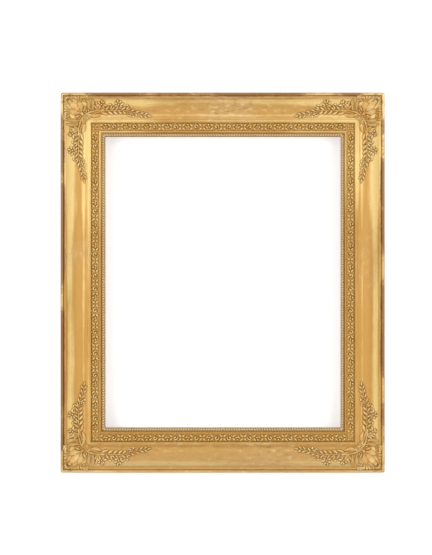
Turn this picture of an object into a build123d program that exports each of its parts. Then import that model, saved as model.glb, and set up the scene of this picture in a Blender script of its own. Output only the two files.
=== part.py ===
from build123d import *
import os
from math import asin, atan2, cos, degrees, pi, radians, sin, sqrt, tan

# Gilded picture frame, hung on a wall. Millimetres, +Z up, +X to the viewer's right,
# the face looks along -Y. The origin is the middle of the opening on the back plane.

# Sight opening
SIGHT_W = 484.0
SIGHT_H = 598.0

# Widths of the moulding's members, from the sight edge outward
SLIP_W = 6.3
SIGHT_GROOVE_W = 2.2
INNER_FILLET_W = 3.0
CHANNEL_W = 16.5
BEAD_W = 7.5
COVE_W = 40.0
LIP_W = 4.0
QUIRK_W = 3.0
OUTER_FILLET_W = 5.0

# Heights of the moulding's members
BACK_T = 22.5
REBATE_STEP = 1.5
SIGHT_EDGE_T = 6.5
INNER_FILLET_RISE = 4.0
CHANNEL_FLOOR_T = 7.5
BEAD_BASE_T = 11.5
BEAD_RISE = 2.0
COVE_RISE = 26.0
LIP_RISE = 1.6
QUIRK_DEPTH = 5.5
OUTER_FILLET_DROP = 3.5
OUTER_ROUND = 3.0
CORNER_ROUND = 4.0

# Rebate and back frame
REBATE_W = 9.0

# Slip at the sight edge
SLIP_BASE_T = 1.4
SLIP_RISE = 2.2

# Shape of every carved leaf, mostly as shares of its length and height
LEAF_RISE_SHARE = 0.2
LEAF_WIDEST_SHARE = 0.4
LEAF_NOSE_SHARE = 0.7
LEAF_NOSE_H_SHARE = 0.85
LEAF_HEEL_H = 0.5

# Foliage frieze
FRIEZE_GAP = 0.15
FRIEZE_T = 1.4
FRIEZE_PITCH = 42.0
FRIEZE_END = 18.0
FRIEZE_RELIEF = 2.4
FRIEZE_LEAF_L = 11.0
FRIEZE_LEAF_W = 4.6
FRIEZE_BUD_D = 7.0
FRIEZE_BUD_SIDES = 4
FRIEZE_FEATHER_SHARE = 0.36
FRIEZE_FEATHER_ANGLE = 22.0
FRIEZE_SCROLL_SHARE = 0.66
FRIEZE_SCROLL_ANGLE = 34.0

# Sprays on the hollow
SPRAY_START = 5.0
SPRAY_REACH = 90.0
SPRAY_STEM_W = 3.0
SPRAY_STEM_H = 1.8
STEM_STATIONS = 8
STEM_TAPER_SHARE = 0.4
STEM_FIRST_SHARES = (0.19, 0.54)
STEM_LAST_SHARES = (0.67, 0.48)
STEM_TIP_SHARE = 0.87
SPRAY_LEAF_H = 2.8
SPRAY_LEAF_SLIM_SHARE = 0.46
SIGHT_LEAVES = 5
SIGHT_LEAF_SHARES = (0.1, 0.62)
SIGHT_LEAF_ANGLES = (34.0, 62.0)
SIGHT_LEAF_L = 24.0
SIGHT_LEAF_TAPER_SHARE = 0.45
LIP_LEAF_L = 17.0
LIP_FAN_SHARES = (0.36, 0.52, 0.66)
LIP_FAN_ANGLES = ((88.0, 54.0), (98.0, 68.0, 38.0), (62.0,))
STAR_FAN = 1
STAR_D = 9.0
STAR_SIDES = 5
TAIL_LEAF_L = 12.0
TAIL_SHARES = (0.74, 0.83, 0.91)
TAIL_ANGLE = 40.0
SPRAY_END_SHARE = 0.98

# Corner cartouches, with shares of the hollow's width
SHELL_FOOT_SHARE = 0.275
SHELL_L_SHARE = 0.7
SHELL_SLIM_SHARE = 0.26
SHELL_LOBES = 5
SHELL_SPREAD_ANGLE = 92.0
SHELL_DROOP_SHARE = 0.25
LOBE_WIDEST_SHARE = 0.66
LOBE_H = 3.4
LOBE_ROOT = 3.0
DRAPE_FOOT_SHARE = 0.46
DRAPE_BACK = 8.9
DRAPE_PITCH = 6.6
DRAPE_W = 6.3
DRAPE_RIBS = 3
SIDE_FAN_FOOT_SHARE = 0.41
SIDE_FAN_BACK = 37.5
SIDE_FAN_L_SHARE = 0.475
SIDE_FAN_ANGLES = (58.0, 84.0, 110.0)
STALK_W = 4.0
STALK_H = 2.4
STALK_BACK = 3.5
STALK_PAST = 3.0
CAST_MARGIN = 2.5
BUD_D = 11.0
BUD_H = 4.2
BUD_SIDES = 6
MITRE_ANGLE = 45.0
SQUARE_ANGLE = 90.0

# Hangers
HANGER_DROP = 190.0
STRAP_W = 14.0
STRAP_L = 46.0
STRAP_T = 1.2
STRAP_CLIP = 3.0
STRAP_LIFT = 0.3
RING_WIRE_D = 2.8
RING_PLAY = 0.06
RING_W = 24.0
RING_L = 22.0
RING_BEND = 3.0
RING_SIDES = 6
RING_BEND_STEPS = 2
RING_BOW_STEPS = 10
HANGER_SCREW_FIRST = 13.0
HANGER_SCREW_PITCH = 22.0

# Turn buttons
BUTTON_L = 28.0
BUTTON_W = 10.0
BUTTON_T = 1.6
BUTTON_CLIP = 2.5
BUTTON_LIFT = 0.3
BUTTON_EDGE = 9.0
BUTTON_PLAY = 0.05

# Wood screws
SCREW_D = 3.5
SCREW_SIDES = 8
SCREW_HEAD_D = 7.0
SCREW_HEAD_T = 1.8
SCREW_LEN = 15.0
SCREW_GAP = 0.03
SCREW_SEAT_GAP = 0.1

# Stations across the moulding, measured outward from the sight edge
U_FILLET = SLIP_W + SIGHT_GROOVE_W
U_CHANNEL = U_FILLET + INNER_FILLET_W
U_BEAD = U_CHANNEL + CHANNEL_W
U_COVE = U_BEAD + BEAD_W
U_LIP = U_COVE + COVE_W
U_QUIRK = U_LIP + LIP_W
U_OUTER = U_QUIRK + QUIRK_W
MOULDING_W = U_OUTER + OUTER_FILLET_W

# Stations forward of the back plane
V_LEDGE = BACK_T + REBATE_STEP
V_SEAT = V_LEDGE + SIGHT_EDGE_T
V_FILLET = V_SEAT + INNER_FILLET_RISE
V_CHANNEL = V_LEDGE + CHANNEL_FLOOR_T
V_COVE = V_LEDGE + BEAD_BASE_T
V_LIP = V_COVE + COVE_RISE
V_OUTER = V_LIP - OUTER_FILLET_DROP
V_QUIRK = V_LIP - QUIRK_DEPTH
V_FRIEZE = V_CHANNEL + FRIEZE_T

OUTER_W = SIGHT_W + 2 * MOULDING_W
OUTER_H = SIGHT_H + 2 * MOULDING_W
BOARD_W = MOULDING_W - REBATE_W
COVE_R = (COVE_W**2 + COVE_RISE**2) / (2 * COVE_RISE)
COVE_ARC = COVE_R * asin(COVE_W / COVE_R)
REACH = 2 * (OUTER_W + OUTER_H)
SHELL_FOOT = U_COVE + SHELL_FOOT_SHARE * COVE_W
DRAPE_FOOT = U_COVE + DRAPE_FOOT_SHARE * COVE_W
SIDE_FAN_FOOT = U_COVE + SIDE_FAN_FOOT_SHARE * COVE_W

RAIL_DIRECTIONS = {
    "top": Vector(0, 0, 1),
    "bottom": Vector(0, 0, -1),
    "left": Vector(-1, 0, 0),
    "right": Vector(1, 0, 0),
}
SIGHT_HALF = {
    "top": SIGHT_W / 2,
    "bottom": SIGHT_W / 2,
    "left": SIGHT_H / 2,
    "right": SIGHT_H / 2,
}


def rail_location(side):
    """Place of a rail's own axes: outward, forward and along, from the middle of its sight edge."""
    out = RAIL_DIRECTIONS[side]
    across = SIGHT_H / 2 if side in ("top", "bottom") else SIGHT_W / 2
    return Plane(origin=out * across, x_dir=out, z_dir=out.cross(Vector(0, -1, 0))).location


def polygon_face(points):
    return make_face(Polyline(*points, close=True))


def mitred_bar(profile, half):
    """A profile run along a rail and cut at 45 degrees at both ends."""
    bar = extrude(Plane.XY * profile, amount=REACH / 2, both=True)
    wide = MOULDING_W
    plan = polygon_face(
        [
            (0, -half),
            (wide, -half - wide),
            (wide, half + wide),
            (0, half),
        ]
    )
    wedge = extrude(Plane.XZ * plan, amount=REACH, both=True)
    return bar & wedge


def moulding_profile():
    """Section of the front moulding: sight edge, channel, bead, hollow, lip, quirk and outer fillet."""
    mid_cove = U_COVE + COVE_W / 2
    edge = Polyline(
        (U_COVE - BEAD_W, V_COVE),
        (U_BEAD, V_CHANNEL),
        (U_CHANNEL, V_CHANNEL),
        (U_CHANNEL, V_FILLET),
        (U_FILLET, V_FILLET),
        (U_FILLET, V_SEAT),
        (0, V_SEAT),
        (0, V_LEDGE),
        (REBATE_W, V_LEDGE),
        (REBATE_W, BACK_T),
        (MOULDING_W, BACK_T),
        (MOULDING_W, V_OUTER - OUTER_ROUND),
    )
    round_start = (MOULDING_W, V_OUTER - OUTER_ROUND)
    round_end = (MOULDING_W - OUTER_ROUND, V_OUTER)
    outer_round = RadiusArc(round_start, round_end, -OUTER_ROUND)
    quirk = [(U_OUTER, V_OUTER), (U_OUTER, V_QUIRK), (U_QUIRK, V_QUIRK), (U_QUIRK, V_LIP)]
    outer = Polyline(round_end, *quirk)
    lip = ThreePointArc((U_QUIRK, V_LIP), (U_LIP + LIP_W / 2, V_LIP + LIP_RISE), (U_LIP, V_LIP))
    cove = ThreePointArc((U_LIP, V_LIP), (mid_cove, cove_height(mid_cove)), (U_COVE, V_COVE))
    bead = ThreePointArc((U_COVE, V_COVE), (U_BEAD + BEAD_W / 2, V_COVE + BEAD_RISE), (U_BEAD, V_COVE))
    return make_face([edge, outer_round, outer, lip, cove, bead])


def outline_block(depth):
    """The frame's outline with its softened corners, as a block through the whole depth."""
    outline = RectangleRounded(OUTER_W, OUTER_H, CORNER_ROUND)
    return extrude(Plane.XZ * outline, amount=depth, both=True)


def cove_moulding(side):
    bar = mitred_bar(moulding_profile(), SIGHT_HALF[side])
    return rail_location(side) * bar & outline_block(2 * V_LIP)


def slip(side):
    """Rounded ribbon moulding on the sight edge."""
    base = V_SEAT + SLIP_BASE_T
    sides = Polyline((SLIP_W, base), (SLIP_W, V_SEAT), (0, V_SEAT), (0, base))
    crown = ThreePointArc((0, base), (SLIP_W / 2, base + SLIP_RISE), (SLIP_W, base))
    return rail_location(side) * mitred_bar(make_face([sides, crown]), SIGHT_HALF[side])


def faceted_solid(triangles):
    """A solid closed by flat facets, each given by its corners."""
    return Solid(Shell([Face(Wire.make_polygon(list(corners), close=True)) for corners in triangles]))


def turned(place, x, y, turn):
    """A surface's own place function, seen from a point on it and turned."""
    c = cos(radians(turn))
    s = sin(radians(turn))
    return lambda along, across, height: place(x + along * c - across * s, y + along * s + across * c, height)


def leaf(place, length, width, height, widest=LEAF_WIDEST_SHARE, keeled=False):
    """A carved leaf with a midrib, drawn flat along its first axis and set on a surface.

    Its heel stands a little off the surface, inside the piece that it springs from. Where it is keeled,
    the middle of its underside lies on the surface too, so that it fills a mitre.
    """
    heel = place(0, 0, LEAF_HEEL_H)
    left = place(widest * length, width / 2, 0)
    right = place(widest * length, -width / 2, 0)
    tip = place(length, 0, 0)
    rise = place(LEAF_RISE_SHARE * length, 0, height)
    nose = place(LEAF_NOSE_SHARE * length, 0, LEAF_NOSE_H_SHARE * height)
    triangles = [(left, heel, rise), (left, rise, nose), (tip, left, nose)]
    triangles += [(heel, right, rise), (right, nose, rise), (right, tip, nose)]
    if keeled:
        keel = place(widest * length, 0, 0)
        triangles += [(heel, left, keel), (left, tip, keel), (tip, right, keel), (right, heel, keel)]
    else:
        triangles += [(heel, left, right), (left, tip, right)]
    return faceted_solid(triangles)


def petal(place, length, width, height, bed):
    """A small pointed leaf with a single crest, bedded in the ground that it is pressed from."""
    heel = place(0, 0, -bed)
    left = place(LEAF_WIDEST_SHARE * length, width / 2, -bed)
    right = place(LEAF_WIDEST_SHARE * length, -width / 2, -bed)
    tip = place(length, 0, -bed)
    crest = place(LEAF_WIDEST_SHARE * length, 0, height)
    sides = [(heel, right, crest), (right, tip, crest), (tip, left, crest), (left, heel, crest)]
    return faceted_solid(sides + [(heel, left, right), (left, tip, right)])


def ridge(place, stations):
    """A ridge along a path on a surface. Each station gives its point, heading, half width and height."""
    left = []
    right = []
    crest = []
    for x, y, heading, half, height in stations:
        spot = turned(place, x, y, heading)
        left.append(spot(0, half, 0))
        right.append(spot(0, -half, 0))
        crest.append(spot(0, 0, height))
    triangles = [(left[0], right[0], crest[0]), (right[-1], left[-1], crest[-1])]
    for i in range(len(stations) - 1):
        j = i + 1
        triangles += [(left[j], left[i], crest[i]), (left[j], crest[i], crest[j])]
        triangles += [(right[i], right[j], crest[j]), (right[i], crest[j], crest[i])]
        triangles += [(left[i], left[j], right[j]), (left[i], right[j], right[i])]
    return faceted_solid(triangles)


def bud(place, diameter, height, sides, bed=0.0):
    """A faceted bud set on a surface."""
    turns = [2 * pi * i / sides for i in range(sides)]
    rim = [place(diameter / 2 * cos(turn), diameter / 2 * sin(turn), -bed) for turn in turns]
    crown = place(0, 0, height)
    triangles = [(rim[0], rim[i + 1], rim[i]) for i in range(1, sides - 1)]
    triangles += [(rim[i], rim[(i + 1) % sides], crown) for i in range(sides)]
    return faceted_solid(triangles)


def frieze(side):
    """Pressed foliage strip: buds, pairs of leaves and spread scroll leaves, mirrored about the middle."""
    half = SIGHT_HALF[side]
    low = U_CHANNEL + FRIEZE_GAP
    high = U_BEAD - FRIEZE_GAP
    strip = polygon_face([(low, V_CHANNEL), (high, V_CHANNEL), (high, V_FRIEZE), (low, V_FRIEZE)])
    base = mitred_bar(strip, half)
    span = half + low - FRIEZE_END
    count = int(span // FRIEZE_PITCH)
    step = span / count
    bed = FRIEZE_T / 2
    offset = (high - low) / 2 - FRIEZE_LEAF_W / 2 - FRIEZE_GAP
    motifs = []
    for end in (1, -1):
        floor = Plane(origin=((low + high) / 2, V_FRIEZE, 0), x_dir=(0, 0, -end), z_dir=(0, 1, 0))
        place = lambda x, y, h: floor.from_local_coords(Vector(x, y, h))
        for i in range(count):
            start = -(i + 1) * step
            spot = turned(place, start + FRIEZE_BUD_D, 0, 0)
            motifs.append(bud(spot, FRIEZE_BUD_D, FRIEZE_RELIEF, FRIEZE_BUD_SIDES, bed))
            for hand in (1, -1):
                feather_at = start + FRIEZE_FEATHER_SHARE * step
                feather = turned(place, feather_at, hand * offset, -hand * FRIEZE_FEATHER_ANGLE)
                motifs.append(petal(feather, FRIEZE_LEAF_L, FRIEZE_LEAF_W, FRIEZE_RELIEF, bed))
                scroll_at = start + FRIEZE_SCROLL_SHARE * step
                scroll = turned(place, scroll_at, hand * offset, -hand * FRIEZE_SCROLL_ANGLE)
                motifs.append(petal(scroll, FRIEZE_LEAF_L, FRIEZE_LEAF_W, FRIEZE_RELIEF, bed))
    return rail_location(side) * base.fuse(*motifs)


def cove_height(u):
    """Height of the hollow at a distance outward from the sight edge."""
    return V_COVE + COVE_R - sqrt(COVE_R**2 - (u - U_COVE) ** 2)


def wrapped(q, a, h):
    """A point of a flat drawing laid round the hollow, in a rail's axes.

    q runs from the sight corner along the rail, a inward from the hollow's outer edge round its curve,
    and h stands square to the surface.
    """
    bend = (COVE_ARC - a) / COVE_R
    return Vector(U_COVE + (COVE_R - h) * sin(bend), V_COVE + COVE_R - (COVE_R - h) * cos(bend), -q)


def stem_point(t):
    """Point of a spray's stem in the flat drawing."""
    start = SPRAY_START - U_COVE
    length = SPRAY_REACH - start
    first_along, first_across = STEM_FIRST_SHARES
    last_along, last_across = STEM_LAST_SHARES
    along = [start, start + first_along * length, start + last_along * length, SPRAY_REACH]
    shares = [first_across, last_across, STEM_TIP_SHARE]
    across = [COVE_ARC - SPRAY_STEM_W] + [share * COVE_ARC for share in shares]
    weights = [(1 - t) ** 3, 3 * t * (1 - t) ** 2, 3 * t**2 * (1 - t), t**3]
    x = sum(w * p for w, p in zip(weights, along))
    y = sum(w * p for w, p in zip(weights, across))
    return x, y


def stem_heading(t):
    step = 0.02
    x0, y0 = stem_point(t - step)
    x1, y1 = stem_point(t + step)
    return degrees(atan2(y1 - y0, x1 - x0))


def spray_leaf(t, lean, length):
    """A leaf on the stem, leaning toward the sight edge or, with a negative angle, toward the lip."""
    spot = turned(wrapped, *stem_point(t), stem_heading(t) + lean)
    return leaf(spot, length, SPRAY_LEAF_SLIM_SHARE * length, SPRAY_LEAF_H)


def between(ends, share):
    """The value a share of the way from the first end to the second."""
    first, last = ends
    return first + (last - first) * share


def sight_leaves():
    """Leaves on the sight side of the stem, the first one broad and lying close along it."""
    leaves = []
    for i in range(SIGHT_LEAVES):
        share = sqrt(i / (SIGHT_LEAVES - 1))
        t = between(SIGHT_LEAF_SHARES, i / (SIGHT_LEAVES - 1))
        length = SIGHT_LEAF_L * (1 - SIGHT_LEAF_TAPER_SHARE * share)
        leaves.append(spray_leaf(t, between(SIGHT_LEAF_ANGLES, share), length))
    return leaves


def lip_fans():
    """Fans of leaves on the lip side of the stem, with a star flower at the tip of one of them."""
    pieces = []
    for t, leans in zip(LIP_FAN_SHARES, LIP_FAN_ANGLES):
        pieces += [spray_leaf(t, -lean, LIP_LEAF_L) for lean in leans]
    t = LIP_FAN_SHARES[STAR_FAN]
    turn = stem_heading(t) - LIP_FAN_ANGLES[STAR_FAN][0]
    x, y = stem_point(t)
    star = turned(wrapped, x + LIP_LEAF_L * cos(radians(turn)), y + LIP_LEAF_L * sin(radians(turn)), turn)
    return pieces + [bud(star, STAR_D, SPRAY_LEAF_H, STAR_SIDES)]


def spray():
    """A cast spray of leaves in a rail's axes, measured from the sight corner where its length grows."""
    stations = []
    for i in range(STEM_STATIONS):
        t = i / (STEM_STATIONS - 1)
        half = SPRAY_STEM_W / 2 * (1 - STEM_TAPER_SHARE * t)
        stations.append((*stem_point(t), stem_heading(t), half, SPRAY_STEM_H))
    pieces = sight_leaves() + lip_fans()
    for t in TAIL_SHARES:
        pieces += [spray_leaf(t, hand * TAIL_ANGLE, TAIL_LEAF_L) for hand in (1, -1)]
    pieces.append(spray_leaf(SPRAY_END_SHARE, 0, TAIL_LEAF_L))
    return ridge(wrapped, stations).fuse(*pieces)


def place_spray(casting, side, end):
    """A spray at one end of a rail: end is 1 where the rail's length grows and -1 at the other end."""
    if end < 0:
        casting = mirror(casting, about=Plane.XY)
    return rail_location(side) * Location((0, 0, end * SIGHT_HALF[side])) * casting


def cast_height(u):
    """Height that a corner casting lies on: up the hollow, level over the lip and down to the outer fillet."""
    if u < U_LIP - CAST_MARGIN / 2:
        return cove_height(u)
    drop = min(max((u - U_QUIRK) / QUIRK_W, 0), 1)
    return between((V_LIP + LIP_RISE, V_OUTER), drop)


def corner_point(x, y, h):
    """A point on the hollow at the top right, measured from the sight corner to the right and upward."""
    return Vector(SIGHT_W / 2 + x, -cast_height(max(x, y)) - h, SIGHT_H / 2 + y)


def corner_spot(x, y, turn, flip):
    """A place and heading in the corner's drawing, or the same across the mitre."""
    return (y, x, SQUARE_ANGLE - turn) if flip else (x, y, turn)


def corner_lobe(x, y, turn, length, flip=False):
    """A round-ended lobe of the corner casting, rooted a little outside the point that it spreads from."""
    out = radians(turn)
    spot = turned(corner_point, *corner_spot(x + LOBE_ROOT * cos(out), y + LOBE_ROOT * sin(out), turn, flip))
    return leaf(spot, length, SHELL_SLIM_SHARE * length, LOBE_H, LOBE_WIDEST_SHARE, keeled=True)


def draped_rib(x, flip):
    """A rib that climbs the hollow and is draped over the lip and the quirk to the outer fillet."""
    outline = (
        (DRAPE_FOOT, 0.55, 0.4),
        (U_LIP - CAST_MARGIN, 1.0, 1.0),
        (U_LIP, 0.95, 0.45),
        (U_QUIRK, 0.9, 0.45),
        (U_OUTER, 0.8, 0.4),
        (MOULDING_W - OUTER_ROUND, 0.45, 0.12),
    )
    stations = []
    for y, width, height in outline:
        stations.append((*corner_spot(x, y, SQUARE_ANGLE, flip), width * DRAPE_W / 2, height * LOBE_H))
    return ridge(corner_point, stations)


def wing(flip):
    """What lies on one side of the mitre: a stalk, draped ribs and a fan of lobes at the stalk's end."""
    side = SHELL_FOOT - SIDE_FAN_BACK
    bend = SHELL_FOOT - DRAPE_BACK
    stalk_path = (
        (SHELL_FOOT - STALK_BACK, SHELL_FOOT),
        (bend, DRAPE_FOOT),
        (side - STALK_PAST, SIDE_FAN_FOOT + LOBE_ROOT),
    )
    stalk = []
    for x, y in stalk_path:
        stalk.append((*corner_spot(x, y, 2 * SQUARE_ANGLE, flip), STALK_W / 2, STALK_H))
    pieces = [ridge(corner_point, stalk)]
    pieces += [draped_rib(bend - i * DRAPE_PITCH, flip) for i in range(DRAPE_RIBS)]
    length = SIDE_FAN_L_SHARE * COVE_W
    pieces += [corner_lobe(side, SIDE_FAN_FOOT, turn, length, flip) for turn in SIDE_FAN_ANGLES]
    return pieces


def cartouche():
    """Cast cartouche of the top right corner: a shell of lobes on the mitre, a bud at its foot and two wings."""
    pieces = wing(False) + wing(True)
    for i in range(SHELL_LOBES):
        aside = i / (SHELL_LOBES - 1) - 0.5
        turn = MITRE_ANGLE + SHELL_SPREAD_ANGLE * aside
        length = SHELL_L_SHARE * COVE_W * (1 - SHELL_DROOP_SHARE * abs(2 * aside))
        pieces.append(corner_lobe(SHELL_FOOT, SHELL_FOOT, turn, length))
    return bud(turned(corner_point, SHELL_FOOT, SHELL_FOOT, 0), BUD_D, BUD_H, BUD_SIDES).fuse(*pieces)


def place_cartouche(casting, right, top):
    """The casting of the top right corner carried to another corner."""
    if right and top:
        return casting
    if not right and not top:
        return casting.rotate(Axis.Y, 180)
    return mirror(casting, about=Plane.XY if right else Plane.YZ)


def back_plate(plan, lift, thickness):
    """A flat piece on the back: a plan in X and Z, from a height off the back plane."""
    return extrude(Plane.XZ.offset(-lift) * plan, amount=-thickness)


def screw_pin(place, radius, low, high):
    """The plain form of a screw's shank or head, or of a hole for it, square to the back plane."""
    return back_plate(Location((place.X, place.Z)) * RegularPolygon(radius, SCREW_SIDES), low, high - low)


def hanger_axis(side):
    """Middle of the eye of a strap hanger."""
    out = -1 if side == "left" else 1
    eye = RING_WIRE_D / 2 + RING_PLAY + STRAP_T
    return Vector(out * (OUTER_W / 2 - BOARD_W / 2), STRAP_LIFT + eye, OUTER_H / 2 - HANGER_DROP)


def hanger_screw_places():
    places = []
    for side in ("left", "right"):
        axis = hanger_axis(side)
        for i in range(2):
            places.append(Vector(axis.X, 0, axis.Z - HANGER_SCREW_FIRST - i * HANGER_SCREW_PITCH))
    return places


def button_place(side):
    """Pivot of the turn button in the middle of a rail."""
    out = RAIL_DIRECTIONS[side]
    across = SIGHT_H / 2 if side in ("top", "bottom") else SIGHT_W / 2
    return out * (across + REBATE_W + BUTTON_EDGE)


def back_board(side):
    """A board of the back frame with half-lapped ends and holes for the screws."""
    half = SIGHT_HALF[side]
    shoulder = half + REBATE_W
    end = half + MOULDING_W
    lap = BACK_T / 2
    section = polygon_face([(REBATE_W, 0), (MOULDING_W, 0), (MOULDING_W, BACK_T), (REBATE_W, BACK_T)])
    board = extrude(Plane.XY * section, amount=end, both=True)
    low = lap if side in ("top", "bottom") else 0
    cut = polygon_face([(REBATE_W, low), (MOULDING_W, low), (MOULDING_W, low + lap), (REBATE_W, low + lap)])
    for hand in (1, -1):
        board -= extrude(Plane.XY.offset(hand * shoulder) * cut, amount=hand * BOARD_W)
    board = rail_location(side) * board & outline_block(2 * BACK_T)
    pilot = SCREW_D / 2 + SCREW_GAP
    for place in hanger_screw_places():
        board -= screw_pin(place, pilot, STRAP_T - SCREW_LEN - SCREW_GAP, BACK_T)
    seat = BUTTON_LIFT + BUTTON_T + SCREW_SEAT_GAP
    board -= screw_pin(button_place(side), pilot, seat - SCREW_LEN - SCREW_GAP, BACK_T)
    return board


def hanger_strap(side):
    """Strap plate with a rolled eye at its upper end and clipped corners at its lower end."""
    axis = hanger_axis(side)
    bore = RING_WIRE_D / 2 + RING_PLAY
    half = STRAP_W / 2
    plan = polygon_face(
        [
            (-half, 0),
            (-half, STRAP_CLIP - STRAP_L),
            (STRAP_CLIP - half, -STRAP_L),
            (half - STRAP_CLIP, -STRAP_L),
            (half, STRAP_CLIP - STRAP_L),
            (half, 0),
        ]
    )
    plate = back_plate(Location((axis.X, axis.Z)) * plan, 0, STRAP_T)
    across = Plane(origin=axis, x_dir=(0, 1, 0), z_dir=(1, 0, 0))
    eye = extrude(across * Circle(bore + STRAP_T), amount=STRAP_W / 2, both=True)
    strap = plate + eye - extrude(across * Circle(bore), amount=STRAP_W, both=True)
    for place in hanger_screw_places():
        strap -= screw_pin(place, SCREW_D / 2 + SCREW_GAP, -BACK_T, BACK_T)
    return strap


def arc_points(x, z, radius, start, end, steps):
    turns = [radians(start + (end - start) * i / steps) for i in range(steps + 1)]
    return [(x + radius * cos(turn), z + radius * sin(turn)) for turn in turns]


def hanger_ring(side):
    """D-ring hanging in its eye: a round pivot and a bow bent from the same wire."""
    axis = hanger_axis(side)
    half = RING_W / 2
    knee = half - RING_BEND
    path = arc_points(-knee, -RING_BEND, RING_BEND, 90, 180, RING_BEND_STEPS)
    path += arc_points(0, half - RING_L, half, 180, 360, RING_BOW_STEPS)
    path += arc_points(knee, -RING_BEND, RING_BEND, 0, 90, RING_BEND_STEPS)
    flat = Plane(origin=axis, x_dir=(1, 0, 0), z_dir=(0, -1, 0))
    start = Plane(origin=axis - Vector(knee, 0, 0), x_dir=(0, 1, 0), z_dir=(-1, 0, 0))
    across = Plane(origin=axis, x_dir=(0, 1, 0), z_dir=(1, 0, 0))
    wire = start * RegularPolygon(RING_WIRE_D / 2, RING_SIDES)
    bow = sweep(wire, path=flat * Polyline(*path), transition=Transition.RIGHT)
    pivot = extrude(across * Circle(RING_WIRE_D / 2), amount=knee, both=True)
    return pivot + bow


def wood_screw(place, seat):
    """Round-headed wood screw whose head sits at a height off the back plane."""
    shank = screw_pin(place, SCREW_D / 2, seat - SCREW_LEN, seat)
    head = screw_pin(place, SCREW_HEAD_D / 2, seat, seat + SCREW_HEAD_T)
    return shank + head


def hanger_screws():
    return Compound(children=[wood_screw(place, STRAP_T) for place in hanger_screw_places()])


def turn_button(side):
    """Flat button with clipped corners, parked along its rail, swivelling on a screw near one end."""
    pivot = button_place(side)
    turn = 0 if side in ("top", "bottom") else 90
    blank = Rectangle(BUTTON_L, BUTTON_W)
    blank = chamfer(blank.vertices(), BUTTON_CLIP)
    plan = Location((BUTTON_L / 2 - BUTTON_W / 2, 0)) * blank - Circle(SCREW_D / 2 + BUTTON_PLAY)
    return back_plate(Location((pivot.X, pivot.Z), (0, 0, turn)) * plan, BUTTON_LIFT, BUTTON_T)


def turn_button_screws():
    seat = BUTTON_LIFT + BUTTON_T + SCREW_SEAT_GAP
    return Compound(children=[wood_screw(button_place(side), seat) for side in RAIL_DIRECTIONS])


def all_nodes():
    """Every node's name and shape."""
    nodes = {}
    for side in RAIL_DIRECTIONS:
        kind = "rail" if side in ("top", "bottom") else "stile"
        nodes["back_" + kind + "_" + side] = back_board(side)
        nodes["cove_" + side] = cove_moulding(side)
        nodes["frieze_" + side] = frieze(side)
        nodes["slip_" + side] = slip(side)
        nodes["turn_button_" + side] = turn_button(side)
    casting = spray()
    for side, near, far in (
        ("top", "right", "left"),
        ("bottom", "left", "right"),
        ("left", "top", "bottom"),
        ("right", "bottom", "top"),
    ):
        nodes["spray_" + side + "_" + near] = place_spray(casting, side, 1)
        nodes["spray_" + side + "_" + far] = place_spray(casting, side, -1)
    corner = cartouche() - nodes["spray_top_right"] - nodes["spray_right_top"]
    for right in (True, False):
        for top in (True, False):
            name = ("top" if top else "bottom") + ("_right" if right else "_left")
            nodes["cartouche_" + name] = place_cartouche(corner, right, top)
    for side in ("left", "right"):
        nodes["hanger_strap_" + side] = hanger_strap(side)
        nodes["hanger_ring_" + side] = hanger_ring(side)
    nodes["hanger_screws"] = hanger_screws()
    nodes["turn_button_screws"] = turn_button_screws()
    return nodes


if __name__ == "__main__":
    os.makedirs("parts", exist_ok=True)
    for name, shape in all_nodes().items():
        export_step(shape, "parts/" + name + ".step")
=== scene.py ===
"""Dressed model of an ornate gilded picture frame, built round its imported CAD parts."""
import logging
import math
from collections.abc import Sequence
from dataclasses import dataclass, field
from enum import Enum

import bmesh
import bpy
import numpy as np
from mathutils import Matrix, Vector


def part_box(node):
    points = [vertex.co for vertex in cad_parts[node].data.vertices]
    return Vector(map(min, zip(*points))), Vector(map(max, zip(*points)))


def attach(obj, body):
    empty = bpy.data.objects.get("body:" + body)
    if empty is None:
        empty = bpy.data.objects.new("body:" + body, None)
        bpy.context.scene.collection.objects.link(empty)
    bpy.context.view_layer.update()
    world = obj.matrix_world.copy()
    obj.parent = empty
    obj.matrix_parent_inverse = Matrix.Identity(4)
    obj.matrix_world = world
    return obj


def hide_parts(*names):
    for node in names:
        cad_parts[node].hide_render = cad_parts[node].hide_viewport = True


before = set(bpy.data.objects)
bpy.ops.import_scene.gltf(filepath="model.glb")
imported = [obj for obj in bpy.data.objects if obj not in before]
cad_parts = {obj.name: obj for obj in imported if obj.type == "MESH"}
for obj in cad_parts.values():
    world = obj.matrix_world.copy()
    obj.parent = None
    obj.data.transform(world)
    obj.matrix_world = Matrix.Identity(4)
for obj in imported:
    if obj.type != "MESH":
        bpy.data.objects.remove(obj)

Array = np.ndarray
Colour = tuple[float, float, float]
Row = tuple[float, ...]
Values = dict[str, Array]
Faces = Sequence[tuple[int, ...]]
Material = bpy.types.Material
Piece = bpy.types.Object
Socket = bpy.types.NodeSocket

LOG = logging.getLogger("gilded_frame")
MM = 0.001
MERGE = 1e-7
SMOOTH_COVE, SMOOTH_METAL, SMOOTH_RELIEF = 32.0, 40.0, 60.0
HALVES = (("Far half", 1), ("Near half", -1))


def linear(red: int, green: int, blue: int) -> Colour:
    """A colour written in display values from 0 to 255, as linear light."""
    return tuple(((c / 255 + 0.055) / 1.055) ** 2.4 if c > 10 else c / 3294.6 for c in (red, green, blue))


def smoothstep(low: float, high: float, value: Array) -> Array:
    """0 below low, 1 above high and smooth between."""
    t = np.clip((value - low) / (high - low), 0, 1)
    return t * t * (3 - 2 * t)


class Side(Enum):
    """The four sides of the frame."""

    TOP = "top"
    BOTTOM = "bottom"
    LEFT = "left"
    RIGHT = "right"

    @property
    def level(self) -> bool:
        """True for a side that runs from left to right."""
        return self in (Side.TOP, Side.BOTTOM)


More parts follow.
